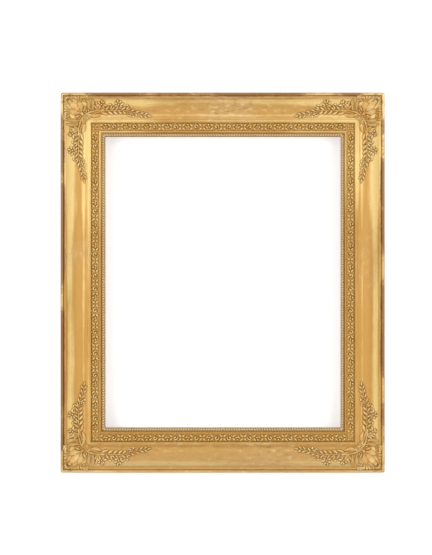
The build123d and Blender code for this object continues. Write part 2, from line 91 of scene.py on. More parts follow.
class Corner(Enum):
    """The four corners, as signs to the right and upward."""

    TOP_RIGHT = (1, 1)
    TOP_LEFT = (-1, 1)
    BOTTOM_RIGHT = (1, -1)
    BOTTOM_LEFT = (-1, -1)


@dataclass(frozen=True)
class Section:
    """Sizes of the moulding in millimetres: u runs outward from the sight edge, v forward from the back."""

    sight_w: float = 484.0
    sight_h: float = 598.0
    slip_w: float = 6.3
    u_fillet: float = 8.5
    u_channel: float = 11.5
    u_bead: float = 28.0
    u_cove: float = 35.5
    u_lip: float = 75.5
    u_quirk: float = 79.5
    u_outer: float = 82.5
    width: float = 87.5
    rebate_w: float = 9.0
    v_back: float = 22.5
    v_ledge: float = 24.0
    v_seat: float = 30.5
    v_channel: float = 31.5
    v_frieze: float = 32.9
    v_fillet: float = 34.5
    v_cove: float = 35.5
    v_quirk: float = 56.0
    v_outer: float = 58.0
    v_lip: float = 61.5
    lip_rise: float = 1.6
    drape: float = 1.2
    bead_rise: float = 2.0
    outer_round: float = 3.0
    corner_round: float = 4.0

    @property
    def cove_r(self) -> float:
        """Radius of the hollow."""
        run, rise = self.u_lip - self.u_cove, self.v_lip - self.v_cove
        return (run**2 + rise**2) / (2 * rise)

    @property
    def cove_arc(self) -> float:
        """Length of the hollow's curve."""
        return self.cove_r * math.asin((self.u_lip - self.u_cove) / self.cove_r)

    def inward(self, u: float | Array) -> Array:
        """Distance inward from the lip round the hollow, at a distance outward from the sight edge."""
        return self.cove_arc - self.cove_r * np.arcsin(np.clip((u - self.u_cove) / self.cove_r, -0.9, 0.93))

    def cast_height(self, u: Array) -> Array:
        """Height that a casting lies on: up the hollow, over the lip and down to the outer edge.

        Args:
            u: Distances outward from the sight edge.

        Returns:
            The heights forward from the back.
        """
        run = np.clip(u, self.u_cove, self.u_lip) - self.u_cove
        hollow = self.v_cove + self.cove_r - np.sqrt(self.cove_r**2 - run**2)
        crest = self.lip_rise * smoothstep(self.u_lip - self.drape, self.u_lip, u)
        drop = smoothstep(self.u_quirk, self.u_outer, u) * (self.v_lip + self.lip_rise - self.v_outer)
        return hollow + crest - drop


SECTION = Section()


@dataclass(frozen=True)
class Rail:
    """One side's own axes, from the middle of its sight edge."""

    side: Side

    @property
    def half(self) -> float:
        """Half of the sight edge's length."""
        return (SECTION.sight_w if self.side.level else SECTION.sight_h) / 2

    def place(self, u: Array, v: Array, w: Array) -> Array:
        """Places points in metres from distances in millimetres.

        Args:
            u: Distances outward from the sight edge.
            v: Distances forward from the back.
            w: Distances along from the side's middle.

        Returns:
            The points.
        """
        out = np.array({Side.TOP: (0, 0, 1.0), Side.BOTTOM: (0, 0, -1.0),
                        Side.LEFT: (-1.0, 0, 0), Side.RIGHT: (1.0, 0, 0)}[self.side])
        forward = np.array((0, -1.0, 0))
        across = (SECTION.sight_h if self.side.level else SECTION.sight_w) / 2
        u, v, w = (np.asarray(x, float)[..., None] for x in (u, v, w))
        return (out * (u + across) + forward * v + np.cross(out, forward) * w) * MM


@dataclass
class HeightMap:
    """The blurred height of a flat drawing on a grid."""

    origin: Array
    cell: float
    soft: Array

    def shade(self, points: Array) -> Values:
        """The values that the gilding reads, from how deep each point lies among its neighbours: painted
        shade where it lies low, and a painted highlight and wear on crests.

        Args:
            points: Points of the drawing: two flat axes and a height.

        Returns:
            Tone, recess and wear at each point.
        """
        at = np.floor((points[:, :2] - self.origin) / self.cell).astype(int)
        inside = ((at >= 0) & (at < self.soft.shape)).all(1)
        at = np.clip(at, 0, np.array(self.soft.shape) - 1)
        depth = np.where(inside, self.soft[at[:, 0], at[:, 1]], 0) - np.maximum(points[:, 2], 0)
        # Painted shade where a point lies below its blurred neighbours, and a painted highlight on crests,
        # which also wear.
        raised, crest = smoothstep(0.2, 1.0, points[:, 2]), smoothstep(0.5, 1.4, -depth)
        return {"tone": 0.1 + 0.2 * raised + 1.3 * crest, "recess": smoothstep(0.0, 0.5, depth),
                "wear": 0.15 * crest**2}


class Relief:
    """Ornament drawn flat in millimetres, as closed shells: two flat axes and the height off the surface."""

    sink = 0.35

    def __init__(self) -> None:
        """Starts an empty drawing."""
        self.points: list[Array] = []
        self.faces: list[tuple[int, ...]] = []
        self.tops: list[Array] = []
        self.count = 0

    def indices(self, rows: int, cols: int) -> tuple[list[list[int]], list[list[int]]]:
        """Indices of the next points, row by row, and of the point that follows each one round its row."""
        index = np.arange(self.count, self.count + rows * cols).reshape(rows, cols)
        return index.tolist(), np.roll(index, -1, 1).tolist()

    def patch(self, top: Array, poles: tuple[bool, bool]) -> None:
        """Adds a closed shell from its upper face.

        Args:
            top: Rows of points, each of which ends by joining its own start.
            poles: Whether the first and the last row are single points.
        """
        rows, cols = top.shape[:2]
        index, after = self.indices(rows, cols)
        for i in range(rows - 1):
            if i == 0 and poles[0]:
                self.faces += [(index[0][0], n, m) for m, n in zip(index[1], after[1])]
            elif i == rows - 2 and poles[1]:
                self.faces += [(index[-1][0], m, n) for m, n in zip(index[i], after[i])]
            else:
                self.faces += zip(index[i], after[i], after[i + 1], index[i + 1])
        if not poles[0]:
            self.faces.append(tuple(index[0]))
        if not poles[1]:
            self.faces.append(tuple(index[-1][::-1]))
        self.tops.append(top)
        self.points.append(top.reshape(-1, 3))
        self.count += rows * cols

    def sweep(self, path: Array, way: Array, half: Array, across: Array, height: Array,
              pointed: bool) -> None:
        """Adds a shell along a path.

        Args:
            path: Points along it.
            way: Its heading at each point, of length 1.
            half: Half width at each point.
            across: Places across it, from -1 to 1.
            height: Height at each point and place across it.
            pointed: Whether both ends are single points.
        """
        aside = np.stack((-way[:, 1], way[:, 0]), 1) * half[:, None]
        top = np.empty((len(path), len(across), 3))
        top[..., :2] = path[:, None] + aside[:, None] * across[:, None]
        top[..., 2] = height - self.sink
        self.patch(top, (pointed, pointed))

    def leaf(self, x: float, y: float, turn: float, length: float, width: float, height: float,
             bend: float = 0.0, blunt: bool = False) -> None:
        """Adds a leaf with a raised rib.

        Args:
            x, y: Its heel.
            turn: Its heading there, in degrees.
            length, width, height: Its size.
            bend: How far its heading turns from heel to tip, in degrees.
            blunt: Whether its end is round.
        """
        t = np.linspace(0, 1, max(10, int(length)))
        heading = np.radians(turn) + np.radians(bend) * t
        mid = (heading[:-1] + heading[1:]) / 2
        step = length / (len(t) - 1)
        path = np.zeros((len(t), 2))
        path[1:] = np.cumsum(np.stack((np.cos(mid), np.sin(mid)), 1) * step, 0)
        s = np.array((-1, -0.75, -0.4, 0, 0.4, 0.75, 1.0))
        shape = np.abs(np.sin(np.pi * t ** (1.3 if blunt else 0.75))) ** (0.6 if blunt else 0.8)
        body = 0.5 + 0.5 * np.sin(np.pi * np.clip(0.1 + 0.85 * t, 0, 1))
        arch = 0.35 * (1 - s**2) ** 0.5 + 0.65 * (1 - np.abs(s) ** 1.2)
        swell = (shape**0.4 * body)[:, None] * arch
        way = np.stack((np.cos(heading), np.sin(heading)), 1)
        self.sweep(path + (x, y), way, width / 2 * shape, s, (height + self.sink) * swell, True)

    def fan(self, x: float, y: float, turn: float, spread: float, count: int, length: float, width: float,
            height: float) -> None:
        """Adds round-ended leaves that spread from one heel, the middle ones longest.

        Args:
            x, y: The heel.
            turn: Heading of the fan's middle, in degrees.
            spread: Angle from the first leaf to the last, in degrees.
            count: Number of leaves.
            length, width, height: Size of the middle leaf.
        """
        for i in sorted(range(count), key=lambda k: -abs(2 * k - count + 1)):
            aside = i / (count - 1) - 0.5
            reach, rise = length * (1 - aside**2), height * (1 - 0.6 * aside**2)
            self.leaf(x, y, turn + spread * aside, reach, width, rise, 20 * aside, True)

    def strand(self, path: Array, half: Array, height: Array) -> None:
        """Adds a rounded ridge along a path.

        Args:
            path: Its points.
            half: Half width at each point.
            height: Height at each point.
        """
        way = np.gradient(path, axis=0)
        way /= np.linalg.norm(way, axis=1)[:, None]
        s = np.linspace(-1, 1, 7)
        arch = np.sqrt(np.clip(1 - s**2, 0, 1))
        self.sweep(path, way, half, s, (height[:, None] + self.sink) * arch, False)

    def scroll(self, x: float, y: float, start: float, sweep: float, radius: float, curl: float,
               half: float, height: float) -> None:
        """Adds a C-shaped scroll that ends in an eye.

        Args:
            x, y: Middle of the scroll.
            start: Angle of its open end, in degrees.
            sweep: Angle that it goes round, in degrees.
            radius: Radius at the open end.
            curl: Share of the radius that is left at the eye.
            half: Half width of the ridge.
            height: Height of the ridge.
        """
        t = np.linspace(0, 1, 20)
        angle = np.radians(start + sweep * t)
        r = radius * (1 - (1 - curl) * t**1.3)
        path = np.stack((x + r * np.cos(angle), y + r * np.sin(angle)), 1)
        taper = np.minimum(1, 0.3 + 2.2 * t) * (1 - 0.3 * t)
        self.strand(path, half * taper, height * (0.6 + 0.4 * taper))
        self.bud(*path[-1], 2.4 * half, 1.15 * height)

    def bud(self, x: float, y: float, diameter: float, height: float, eye: float = 0.0) -> None:
        """Adds a dome.

        Args:
            x, y: Its middle.
            diameter, height: Its size.
            eye: How deep its middle is sunk, as a share of its height.
        """
        turn = np.linspace(0, 2 * np.pi, 12, endpoint=False)
        rings = np.array((1, 0.94, 0.78, 0.55, 0.3))[:, None]
        arch = np.sqrt(1 - rings**2) * (1 - eye * np.clip(1 - 2.2 * rings, 0, None))
        dome = np.empty((len(rings), len(turn), 3))
        dome[..., 0] = x + diameter / 2 * rings * np.cos(turn)
        dome[..., 1] = y + diameter / 2 * rings * np.sin(turn)
        dome[..., 2] = (height + self.sink) * arch - self.sink
        index, after = self.indices(len(rings), len(turn))
        crown = index[-1][-1] + 1
        self.faces.append(tuple(index[0][::-1]))
        for i in range(len(rings) - 1):
            self.faces += zip(index[i], after[i], after[i + 1], index[i + 1])
        self.faces += [(m, n, crown) for m, n in zip(index[-1], after[-1])]
        self.points += [dome.reshape(-1, 3), np.array([[x, y, height * (1 - eye)]])]
        self.tops.append(np.concatenate((dome, dome[:, :1]), 1))
        self.count = crown + 1

    def rosette(self, x: float, y: float, turn: float, size: float, height: float) -> None:
        """Adds a spray rosette: seven pointed leaves of uneven length all round a bud.

        Args:
            x, y: Its middle.
            turn: Angle of its first leaf, in degrees.
            size, height: Its size.
        """
        for i in range(7):
            angle = turn + 360 * i / 7 + 9 * math.sin(2.4 * i + turn)
            way = math.radians(angle)
            reach = size * (0.46 + 0.07 * math.sin(3.7 * i + turn))
            self.leaf(x + 0.06 * size * math.cos(way), y + 0.06 * size * math.sin(way), angle, reach,
                      0.27 * size, height, 24 * math.sin(1.9 * i))
        self.bud(x, y, 0.2 * size, 1.15 * height)

    def flower(self, x: float, y: float, turn: float, size: float, height: float, petals: int) -> None:
        """Adds an open flower: petals round a bud.

        Args:
            x, y: Its middle.
            turn: Angle of its first petal, in degrees.
            size, height: Its size.
            petals: Number of petals.
        """
        for i in range(petals):
            angle = turn + 360 * i / petals
            way = math.radians(angle)
            self.leaf(x + 0.08 * size * math.cos(way), y + 0.08 * size * math.sin(way), angle, 0.46 * size,
                      0.44 * size, height, 0, True)
        self.bud(x, y, 0.32 * size, 1.2 * height)

    def add(self, other: "Relief", flip: bool) -> None:
        """Adds another drawing.

        Args:
            other: The drawing.
            flip: Whether its two flat axes are exchanged.
        """
        order = (1, 0, 2) if flip else (0, 1, 2)
        self.faces += [tuple(i + self.count for i in f) for f in other.faces]
        self.points += [p[:, order] for p in other.points]
        self.tops += [t[..., order] for t in other.tops]
        self.count += other.count

    def all_points(self) -> Array:
        """All points in order."""
        return np.concatenate(self.points)

    def map(self, cell: float = 0.4, blur: float = 1.5) -> HeightMap:
        """Heights of the drawing on a grid.

        Args:
            cell: Size of a cell.
            blur: Radius of the blur.

        Returns:
            The map.
        """
        flat = self.all_points()[:, :2]
        margin = 4 * blur
        origin = flat.min(0) - margin
        soft = np.zeros(np.ceil((flat.max(0) + margin - origin) / cell).astype(int) + 1)
        for top in self.tops:
            for axis in (0, 1):
                step = np.linalg.norm(np.diff(top, axis=axis), axis=-1).max()
                n = top.shape[axis]
                at = np.linspace(0, n - 1, (n - 1) * max(1, math.ceil(1.4 * step / cell)) + 1)
                low = np.minimum(at.astype(int), n - 2)
                part = (at - low).reshape((-1, 1, 1) if axis == 0 else (1, -1, 1))
                top = np.take(top, low, axis) * (1 - part) + np.take(top, low + 1, axis) * part
            i, j = np.floor((top[..., :2] - origin) / cell).astype(int).reshape(-1, 2).T
            np.maximum.at(soft, (i, j), top[..., 2].reshape(-1))
        reach = int(3 * blur / cell)
        weight = np.exp(-0.5 * (np.arange(-reach, reach + 1) * cell / blur) ** 2)
        weight /= weight.sum()
        for axis in (0, 1):
            soft = sum(w * np.roll(soft, k, axis) for k, w in zip(range(-reach, reach + 1), weight))
        return HeightMap(origin, cell, soft)


def plain_object(name: str, points: Array, faces: Faces, values: Values) -> Piece:
    """A mesh object that isn't linked to the scene.

    Args:
        name: Its name.
        points: Its points.
        faces: Its faces as indices of points.
        values: Named values on its points.

    Returns:
        The object.
    """
    mesh = bpy.data.meshes.new(name)
    mesh.from_pydata(points.tolist(), [], faces)
    for key, value in values.items():
        layer = mesh.attributes.new(key, "FLOAT", "POINT")
        layer.data.foreach_set("value", np.asarray(value, np.float32))
    return bpy.data.objects.new(name, mesh)


def make_piece(name: str, points: Array, faces: Faces, values: Values, smooth: float) -> Piece:
    """A piece with outward faces and shading that is smooth up to an angle.

    Args:
        name: The piece's name.
        points: Its points in metres.
        faces: Its faces as indices of points.
        values: Named values on its points.
        smooth: Largest angle between two faces that are shaded as one, in degrees.

    Returns:
        The piece, linked to the scene.
    """
    piece = plain_object(name, points, faces, values)
    bpy.context.scene.collection.objects.link(piece)
    return finish_mesh(piece, smooth)


def finish_mesh(piece: Piece, smooth: float) -> Piece:
    """Merges doubles, turns the faces outward and sets the shading of a piece.

    Args:
        piece: The piece.
        smooth: Largest angle between two faces that are shaded as one, in degrees.

    Returns:
        The piece.
    """
    work = bmesh.new()
    work.from_mesh(piece.data)
    bmesh.ops.remove_doubles(work, verts=work.verts, dist=MERGE)
    bmesh.ops.dissolve_degenerate(work, edges=work.edges, dist=MERGE)
    bmesh.ops.delete(work, geom=[v for v in work.verts if not v.link_faces], context="VERTS")
    bmesh.ops.recalc_face_normals(work, faces=work.faces)
    for face in work.faces:
        face.smooth = True
    for edge in work.edges:
        edge.smooth = edge.calc_face_angle(math.pi) < math.radians(smooth)
    work.to_mesh(piece.data)
    work.free()
    return piece


def lofted(name: str, loops: Array, closed: bool, smooth: float, values: Values) -> Piece:
    """A piece through loops of points.

    Args:
        name: The piece's name.
        loops: Points in metres: loop by loop, round each loop.
        closed: True where the last loop joins the first, and false where both ends are filled.
        smooth: Largest angle between two faces that are shaded as one, in degrees.
        values: Named values on its points.

    Returns:
        The piece.
    """
    rows, cols = loops.shape[:2]
    index = np.arange(rows * cols).reshape(rows, cols)
    ends = [] if closed else [tuple(index[0].tolist()), tuple(index[-1, ::-1].tolist())]
    after = np.roll(index, -1, 0)
    quads = np.stack((index, np.roll(index, -1, 1), np.roll(after, -1, 1), after), -1)
    faces = (quads if closed else quads[:-1]).reshape(-1, 4).tolist()
    return make_piece(name, loops.reshape(-1, 3), faces + ends, values, smooth)


class Value:
    """A number in a node tree, whose arithmetic adds Math nodes."""

    def __init__(self, tree: "Tree", socket: Socket) -> None:
        """Takes up an output of a node."""
        self.tree = tree
        self.socket = socket

    def _math(self, operation: str, first: "Value | float", second: "Value | float") -> "Value":
        """The result of one Math node."""
        return self.tree.number("ShaderNodeMath", {"operation": operation}, {0: first, 1: second})

    def __add__(self, other: "Value | float") -> "Value":
        """Sum."""
        return self._math("ADD", self, other)

    def __sub__(self, other: "Value | float") -> "Value":
        """Difference."""
        return self._math("SUBTRACT", self, other)

    def __rsub__(self, other: "Value | float") -> "Value":
        """Difference from a number."""
        return self._math("SUBTRACT", other, self)

    def __mul__(self, other: "Value | float") -> "Value":
        """Product."""
        return self._math("MULTIPLY", self, other)

    __radd__, __rmul__ = __add__, __mul__

    def step(self, low: float, high: float) -> "Value":
        """0 below low, 1 above high and smooth between."""
        return self.tree.number("ShaderNodeMapRange", {"interpolation_type": "SMOOTHSTEP"},
                                {"Value": self, "From Min": low, "From Max": high})


Feed = Value | Socket | float | Sequence[float]


class Tree:
    """A node tree under construction."""

    def __init__(self, tree: bpy.types.NodeTree) -> None:
        """Takes up a tree."""
        self.tree = tree

    def node(self, kind: str, settings: dict, sockets: dict) -> bpy.types.Node:
        """Adds a node.

        Args:
            kind: The node's type.
            settings: Its own settings, which are set first.
            sockets: Values or links of its inputs, by name or number.

        Returns:
            The node.
        """
        made = self.tree.nodes.new(kind)
        for key, value in settings.items():
            setattr(made, key, value)
        for key, value in sockets.items():
            self.feed(made.inputs[key], value)
        return made

    def feed(self, socket: Socket, value: Feed) -> None:
        """Links a value to a socket, or writes it there.

        Args:
            socket: The input.
            value: What it gets.
        """
        if isinstance(value, Value):
            value = value.socket
        if isinstance(value, Socket):
            self.tree.links.new(value, socket)
        elif socket.type == "RGBA":
            socket.default_value = (*value, 1.0)
        else:
            socket.default_value = value

    def number(self, kind: str, settings: dict, sockets: dict, output: int | str = 0) -> Value:
        """Adds a node and gives one of its outputs as a number."""
        return Value(self, self.node(kind, settings, sockets).outputs[output])

    def direct_rays(self) -> Value:
        """Tells what the camera sees from what only lights the scene.

        Returns:
            1 for rays from the camera, straight or by a mirror or through glass, and 0 for the rest.
        """
        path = self.node("ShaderNodeLightPath", {}, {})
        total = Value(self, path.outputs["Is Camera Ray"])
        for name in ("Is Glossy Ray", "Is Transmission Ray"):
            total = self.number("ShaderNodeMath", {"use_clamp": True}, {0: total, 1: path.outputs[name]})
        return total


class Shader(Tree):
    """A material under construction."""

    mix_first, mix_second, mix_result = 6, 7, 2

    def __init__(self, name: str) -> None:
        """Starts a material.

        Args:
            name: The material's name.
        """
        self.material = bpy.data.materials.new(name)
        self.material.use_nodes = True
        super().__init__(self.material.node_tree)
        self.surface = self.tree.nodes["Principled BSDF"]

    def carried(self, name: str) -> Value:
        """A value that the piece carries on its points."""
        return self.number("ShaderNodeAttribute", {"attribute_name": name}, {}, "Fac")

    def coords(self, scale: Sequence[float], along: bool = False) -> Socket:
        """Coordinates for a pattern.

        Args:
            scale: Scale on each axis.
            along: True for the piece's own distances along and across, and false for Object coordinates.

        Returns:
            The coordinates.
        """
        if along:
            sockets = {"X": self.carried("along"), "Y": self.carried("across")}
            source = self.node("ShaderNodeCombineXYZ", {}, sockets).outputs[0]
        else:
            source = self.node("ShaderNodeTexCoord", {}, {}).outputs["Object"]
        return self.node("ShaderNodeMapping", {}, {"Vector": source, "Scale": scale}).outputs["Vector"]

    def noise(self, vector: Socket, scale: float, detail: float = 3.0, rough: float = 0.55) -> Value:
        """Soft noise from 0 to 1."""
        return self.number("ShaderNodeTexNoise", {},
                           {"Vector": vector, "Scale": scale, "Detail": detail, "Roughness": rough})

    def streaks(self, scale: Row, detail: float, rough: float = 0.6) -> Value:
        """Noise that is drawn out along the piece."""
        return self.noise(self.coords(scale, True), 1, detail, rough)

    def mix(self, share: Value | float, first: Colour | Socket, second: Colour | Socket) -> Socket:
        """Mixes two colours.

        Args:
            share: Share of the second.
            first, second: The colours.

        Returns:
            The mixed colour.
        """
        made = self.node("ShaderNodeMix", {"data_type": "RGBA"},
                         {"Factor": share, self.mix_first: first, self.mix_second: second})
        return made.outputs[self.mix_result]

    def bump(self, height: Value, strength: float, distance: float) -> Socket:
        """A normal tilted by a height."""
        sockets = {"Height": height, "Strength": strength, "Distance": distance}
        return self.node("ShaderNodeBump", {}, sockets).outputs[0]

    def set(self, **sockets: Feed) -> Material:
        """Feeds the surface's sockets.

        Args:
            sockets: What each gets, by its name with _ for a space.

        Returns:
            The material.
        """
        for key, value in sockets.items():
            self.feed(self.surface.inputs[key.replace("_", " ")], value)
        return self.material


@dataclass(frozen=True)
class Gilding:
    """Aged gold leaf over red bole and gesso."""

    name: str
    bright: Colour = linear(255, 224, 148)
    deep: Colour = linear(202, 152, 68)
    bole: Colour = linear(140, 82, 32)
    shade_and_grime_colour: Colour = linear(108, 66, 14)
    dust: Colour = linear(203, 172, 122)
    gesso: Colour = linear(248, 226, 176)
    wear: float = 0.8
    shade_and_grime: float = 0.85
    dusty: float = 0.35
    cloudy: float = 0.3
    mottled: float = 0.35
    metal: float = 0.2
    rough: float = 0.52
    streaked: bool = False

    def material(self) -> Material:
        """Builds the finish.

        Returns:
            The material.
        """
        sh = Shader(self.name)
        here = sh.coords((1, 1, 1))
        tone, recess, wear = (sh.carried(n) for n in ("tone", "recess", "wear"))
        mottle = sh.noise(here, 14, 4)
        patch = sh.noise(here, 60, 5, 0.7)
        flake = sh.noise(here, 170, 3, 0.6)
        fine = sh.noise(here, 420, 3, 0.65)
        # The carried tone holds painted highlights and painted light and shade, on top of the gold's own
        # tone.
        lay = tone + (mottle - 0.5) * 0.5 + (patch - 0.5) * self.mottled
        if self.streaked:
            streak, hair = sh.streaks((9, 210, 1), 4), sh.streaks((30, 760, 1), 2)
            lay = lay + (streak - 0.5) * 0.7 + (hair - 0.5) * 0.5
        colour = sh.mix(lay.step(0.0, 1.0), self.deep, self.bright)
        colour = sh.mix((fine - 0.35).step(0.0, 0.5) * 0.16, colour, self.shade_and_grime_colour)
        if self.streaked:
            colour = self.scuffed(sh, colour)
        bare = wear + (patch - 0.5) * 0.7 + (mottle - 0.5) * 0.4 + (flake - 0.5) * 0.6
        bare = bare.step(0.45, 0.85) * self.wear
        colour = sh.mix(bare, colour, self.bole)
        # Painted shade from the carried recess, with cloudy soiling, turns the gold toward the dark colour
        # and dulls its sheen.
        shade_and_dirt = (recess + (patch - 0.5) * self.cloudy).step(0.1, 0.85) * self.shade_and_grime
        colour = sh.mix(shade_and_dirt, colour, self.shade_and_grime_colour)
        normal = sh.node("ShaderNodeNewGeometry", {}, {}).outputs["Normal"]
        facing_up = sh.number("ShaderNodeSeparateXYZ", {}, {0: normal}, "Z").step(0.15, 0.9)
        colour = sh.mix(facing_up * (0.55 + mottle * 0.9) * self.dusty, colour, self.dust)
        rough = self.rough + shade_and_dirt * 0.3 + bare * 0.15 + (patch - 0.5) * 0.2
        metallic = self.metal * (1 - 0.85 * bare) * (1 - 0.8 * shade_and_dirt)
        relief = sh.bump(fine * 0.5 + patch, 0.25, 0.0004)
        return sh.set(Base_Color=colour, Roughness=rough, Metallic=metallic, Normal=relief)

    def scuffed(self, sh: Shader, gold: Socket) -> Socket:
        """Scuffs the gold where the piece says so.

        Args:
            sh: The shader.
            gold: The gold's colour.

        Returns:
            The colour with dust, bared gesso and soiling.
        """
        scuff = sh.carried("scuff")
        blotch = sh.streaks((60, 130, 1), 3)
        gold = sh.mix(scuff * 0.45, gold, self.dust)
        gold = sh.mix(blotch.step(0.55, 0.68) * scuff * 0.6, gold, self.gesso)
        return sh.mix((1 - blotch).step(0.55, 0.7) * scuff * 0.55, gold, self.shade_and_grime_colour)


@dataclass(frozen=True)
class Pine:
    """Aged bare softwood with its grain along one axis."""

    name: str
    level: bool
    pale: Colour = linear(190, 148, 98)
    dark: Colour = linear(134, 94, 56)
    stain: Colour = linear(84, 60, 38)

    def material(self) -> Material:
        """Builds the finish.

        Returns:
            The material.
        """
        sh = Shader(self.name)
        here = sh.coords((1, 1, 1))
        scale = (1.6, 40, 40) if self.level else (40, 40, 1.6)
        rings = sh.noise(sh.coords(scale), 1, 5, 0.6).step(0.38, 0.62)
        fibre = sh.noise(sh.coords([7 * s for s in scale]), 1, 3)
        tone = rings * 0.35 + fibre * 0.5 + sh.noise(here, 6, 2) * 0.4
        colour = sh.mix(tone.step(0.2, 1.0), self.dark, self.pale)
        colour = sh.mix(sh.noise(here, 7, 4).step(0.5, 0.75) * 0.4, colour, self.stain)
        relief = sh.bump(fibre + rings * 0.6, 0.3, 0.0005)
        return sh.set(Base_Color=colour, Roughness=0.62 + fibre * 0.25, Normal=relief)


@dataclass(frozen=True)
class OldMetal:
    """Dulled metal with tarnish in patches."""

    name: str
    bright: Colour
    tarnish: Colour
    rough: float = 0.38

    def material(self) -> Material:
        """Builds the finish.

        Returns:
            The material.
        """
        sh = Shader(self.name)
        cloud = sh.noise(sh.coords((1, 1, 1)), 160, 4, 0.65)
        scratch = sh.noise(sh.coords((900, 900, 60)), 1, 2)
        dull = (cloud + (scratch - 0.5) * 0.3).step(0.35, 0.75)
        colour = sh.mix(dull, self.bright, self.tarnish)
        return sh.set(Base_Color=colour, Roughness=self.rough + dull * 0.3, Metallic=1 - dull * 0.35,
                      Normal=sh.bump(scratch + cloud, 0.12, 0.0002))


@dataclass
class Finishes:
    """Every finish of the frame, made once."""

    cove: Material = field(default_factory=Gilding("gilt_cove", streaked=True).material)
    ornament: Material = field(default_factory=Gilding(
        "gilt_castings", bright=linear(255, 238, 174), deep=linear(206, 152, 66), wear=0.2, shade_and_grime=0.9,
        dusty=0.1, mottled=1.1, rough=0.42).material)
    frieze: Material = field(default_factory=Gilding(
        "gilt_frieze", bright=linear(255, 230, 154), deep=linear(196, 146, 60), shade_and_grime_colour=linear(108, 68, 8),
        wear=0.1, dusty=0.1, cloudy=0.15, mottled=0.7, rough=0.42).material)
    slip: Material = field(default_factory=Gilding(
        "gilt_slip", bright=linear(220, 190, 138), deep=linear(150, 120, 80), wear=0.3, dusty=0.2).material)
    brass: Material = field(default_factory=OldMetal(
        "dull_brass", linear(196, 158, 92), linear(110, 82, 46)).material)
    steel: Material = field(default_factory=OldMetal(
        "dull_steel", linear(150, 146, 140), linear(82, 70, 60)).material)
    rail_pine: Material = field(default_factory=Pine("pine_rails", True).material)
    stile_pine: Material = field(default_factory=Pine("pine_stiles", False).material)


def dress(piece: Piece, finish: Material, body: str, slot: str, *nodes: str) -> None:
    """Gives a piece its finish and body, and hides the CAD nodes that it stands for.

    Args:
        piece: The piece.
        finish: Its material.
        body: The CAD body that it rides on.
        slot: The record's material slot; not used.
        nodes: The CAD nodes that it replaces.
    """
    piece.data.materials.clear()
    piece.data.materials.append(finish)
    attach(piece, body)
    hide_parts(*nodes)
    LOG.info("%s: %d faces on %s", piece.name, len(piece.data.polygons), body)


@dataclass(frozen=True)
class AgeingAndLight:
    """How age shows on one moulding and how light and shade are painted on it, with its lengths in
    millimetres.

    Attributes:
        edge_wear: How far the lip and the outer edge are rubbed.
        shade_and_dulling: How much tone is lost at the inner and at the outer side of the hollow: painted
            shade where that side faces away from the light, and dulling.
        soiled: Dirt at the inner side of the hollow.
        scuff: Place along the moulding, reach and strength of a scuffed patch.
        haze: Scuffing all over.
        fade: Change of tone at the lower and at the upper end, which is painted light.
        end_gain: Rise of tone near both ends.
    """

    edge_wear: float
    shade_and_dulling: tuple[float, float]
    soiled: float
    scuff: tuple[float, float, float]
    haze: float
    fade: tuple[float, float]
    end_gain: float


AGEING_AND_LIGHT = {
    Side.TOP: AgeingAndLight(0.92, (0.0, 0.5), 0.05, (11, 52, 0.65), 0.35, (0.0, -0.12), 0.35),
    Side.BOTTOM: AgeingAndLight(0.2, (0.6, 0.5), 0.25, (-95, 60, 0.3), 0.4, (-0.1, 0.0), 0.15),
    Side.LEFT: AgeingAndLight(1.1, (-0.22, 0.0), 0.0, (60, 28, 0.4), 0.0, (-0.36, 0.08), 0.0),
    Side.RIGHT: AgeingAndLight(0.92, (0.06, 0.0), 0.0, (-40, 60, 0.3), 0.0, (-0.36, 0.16), 0.1)}


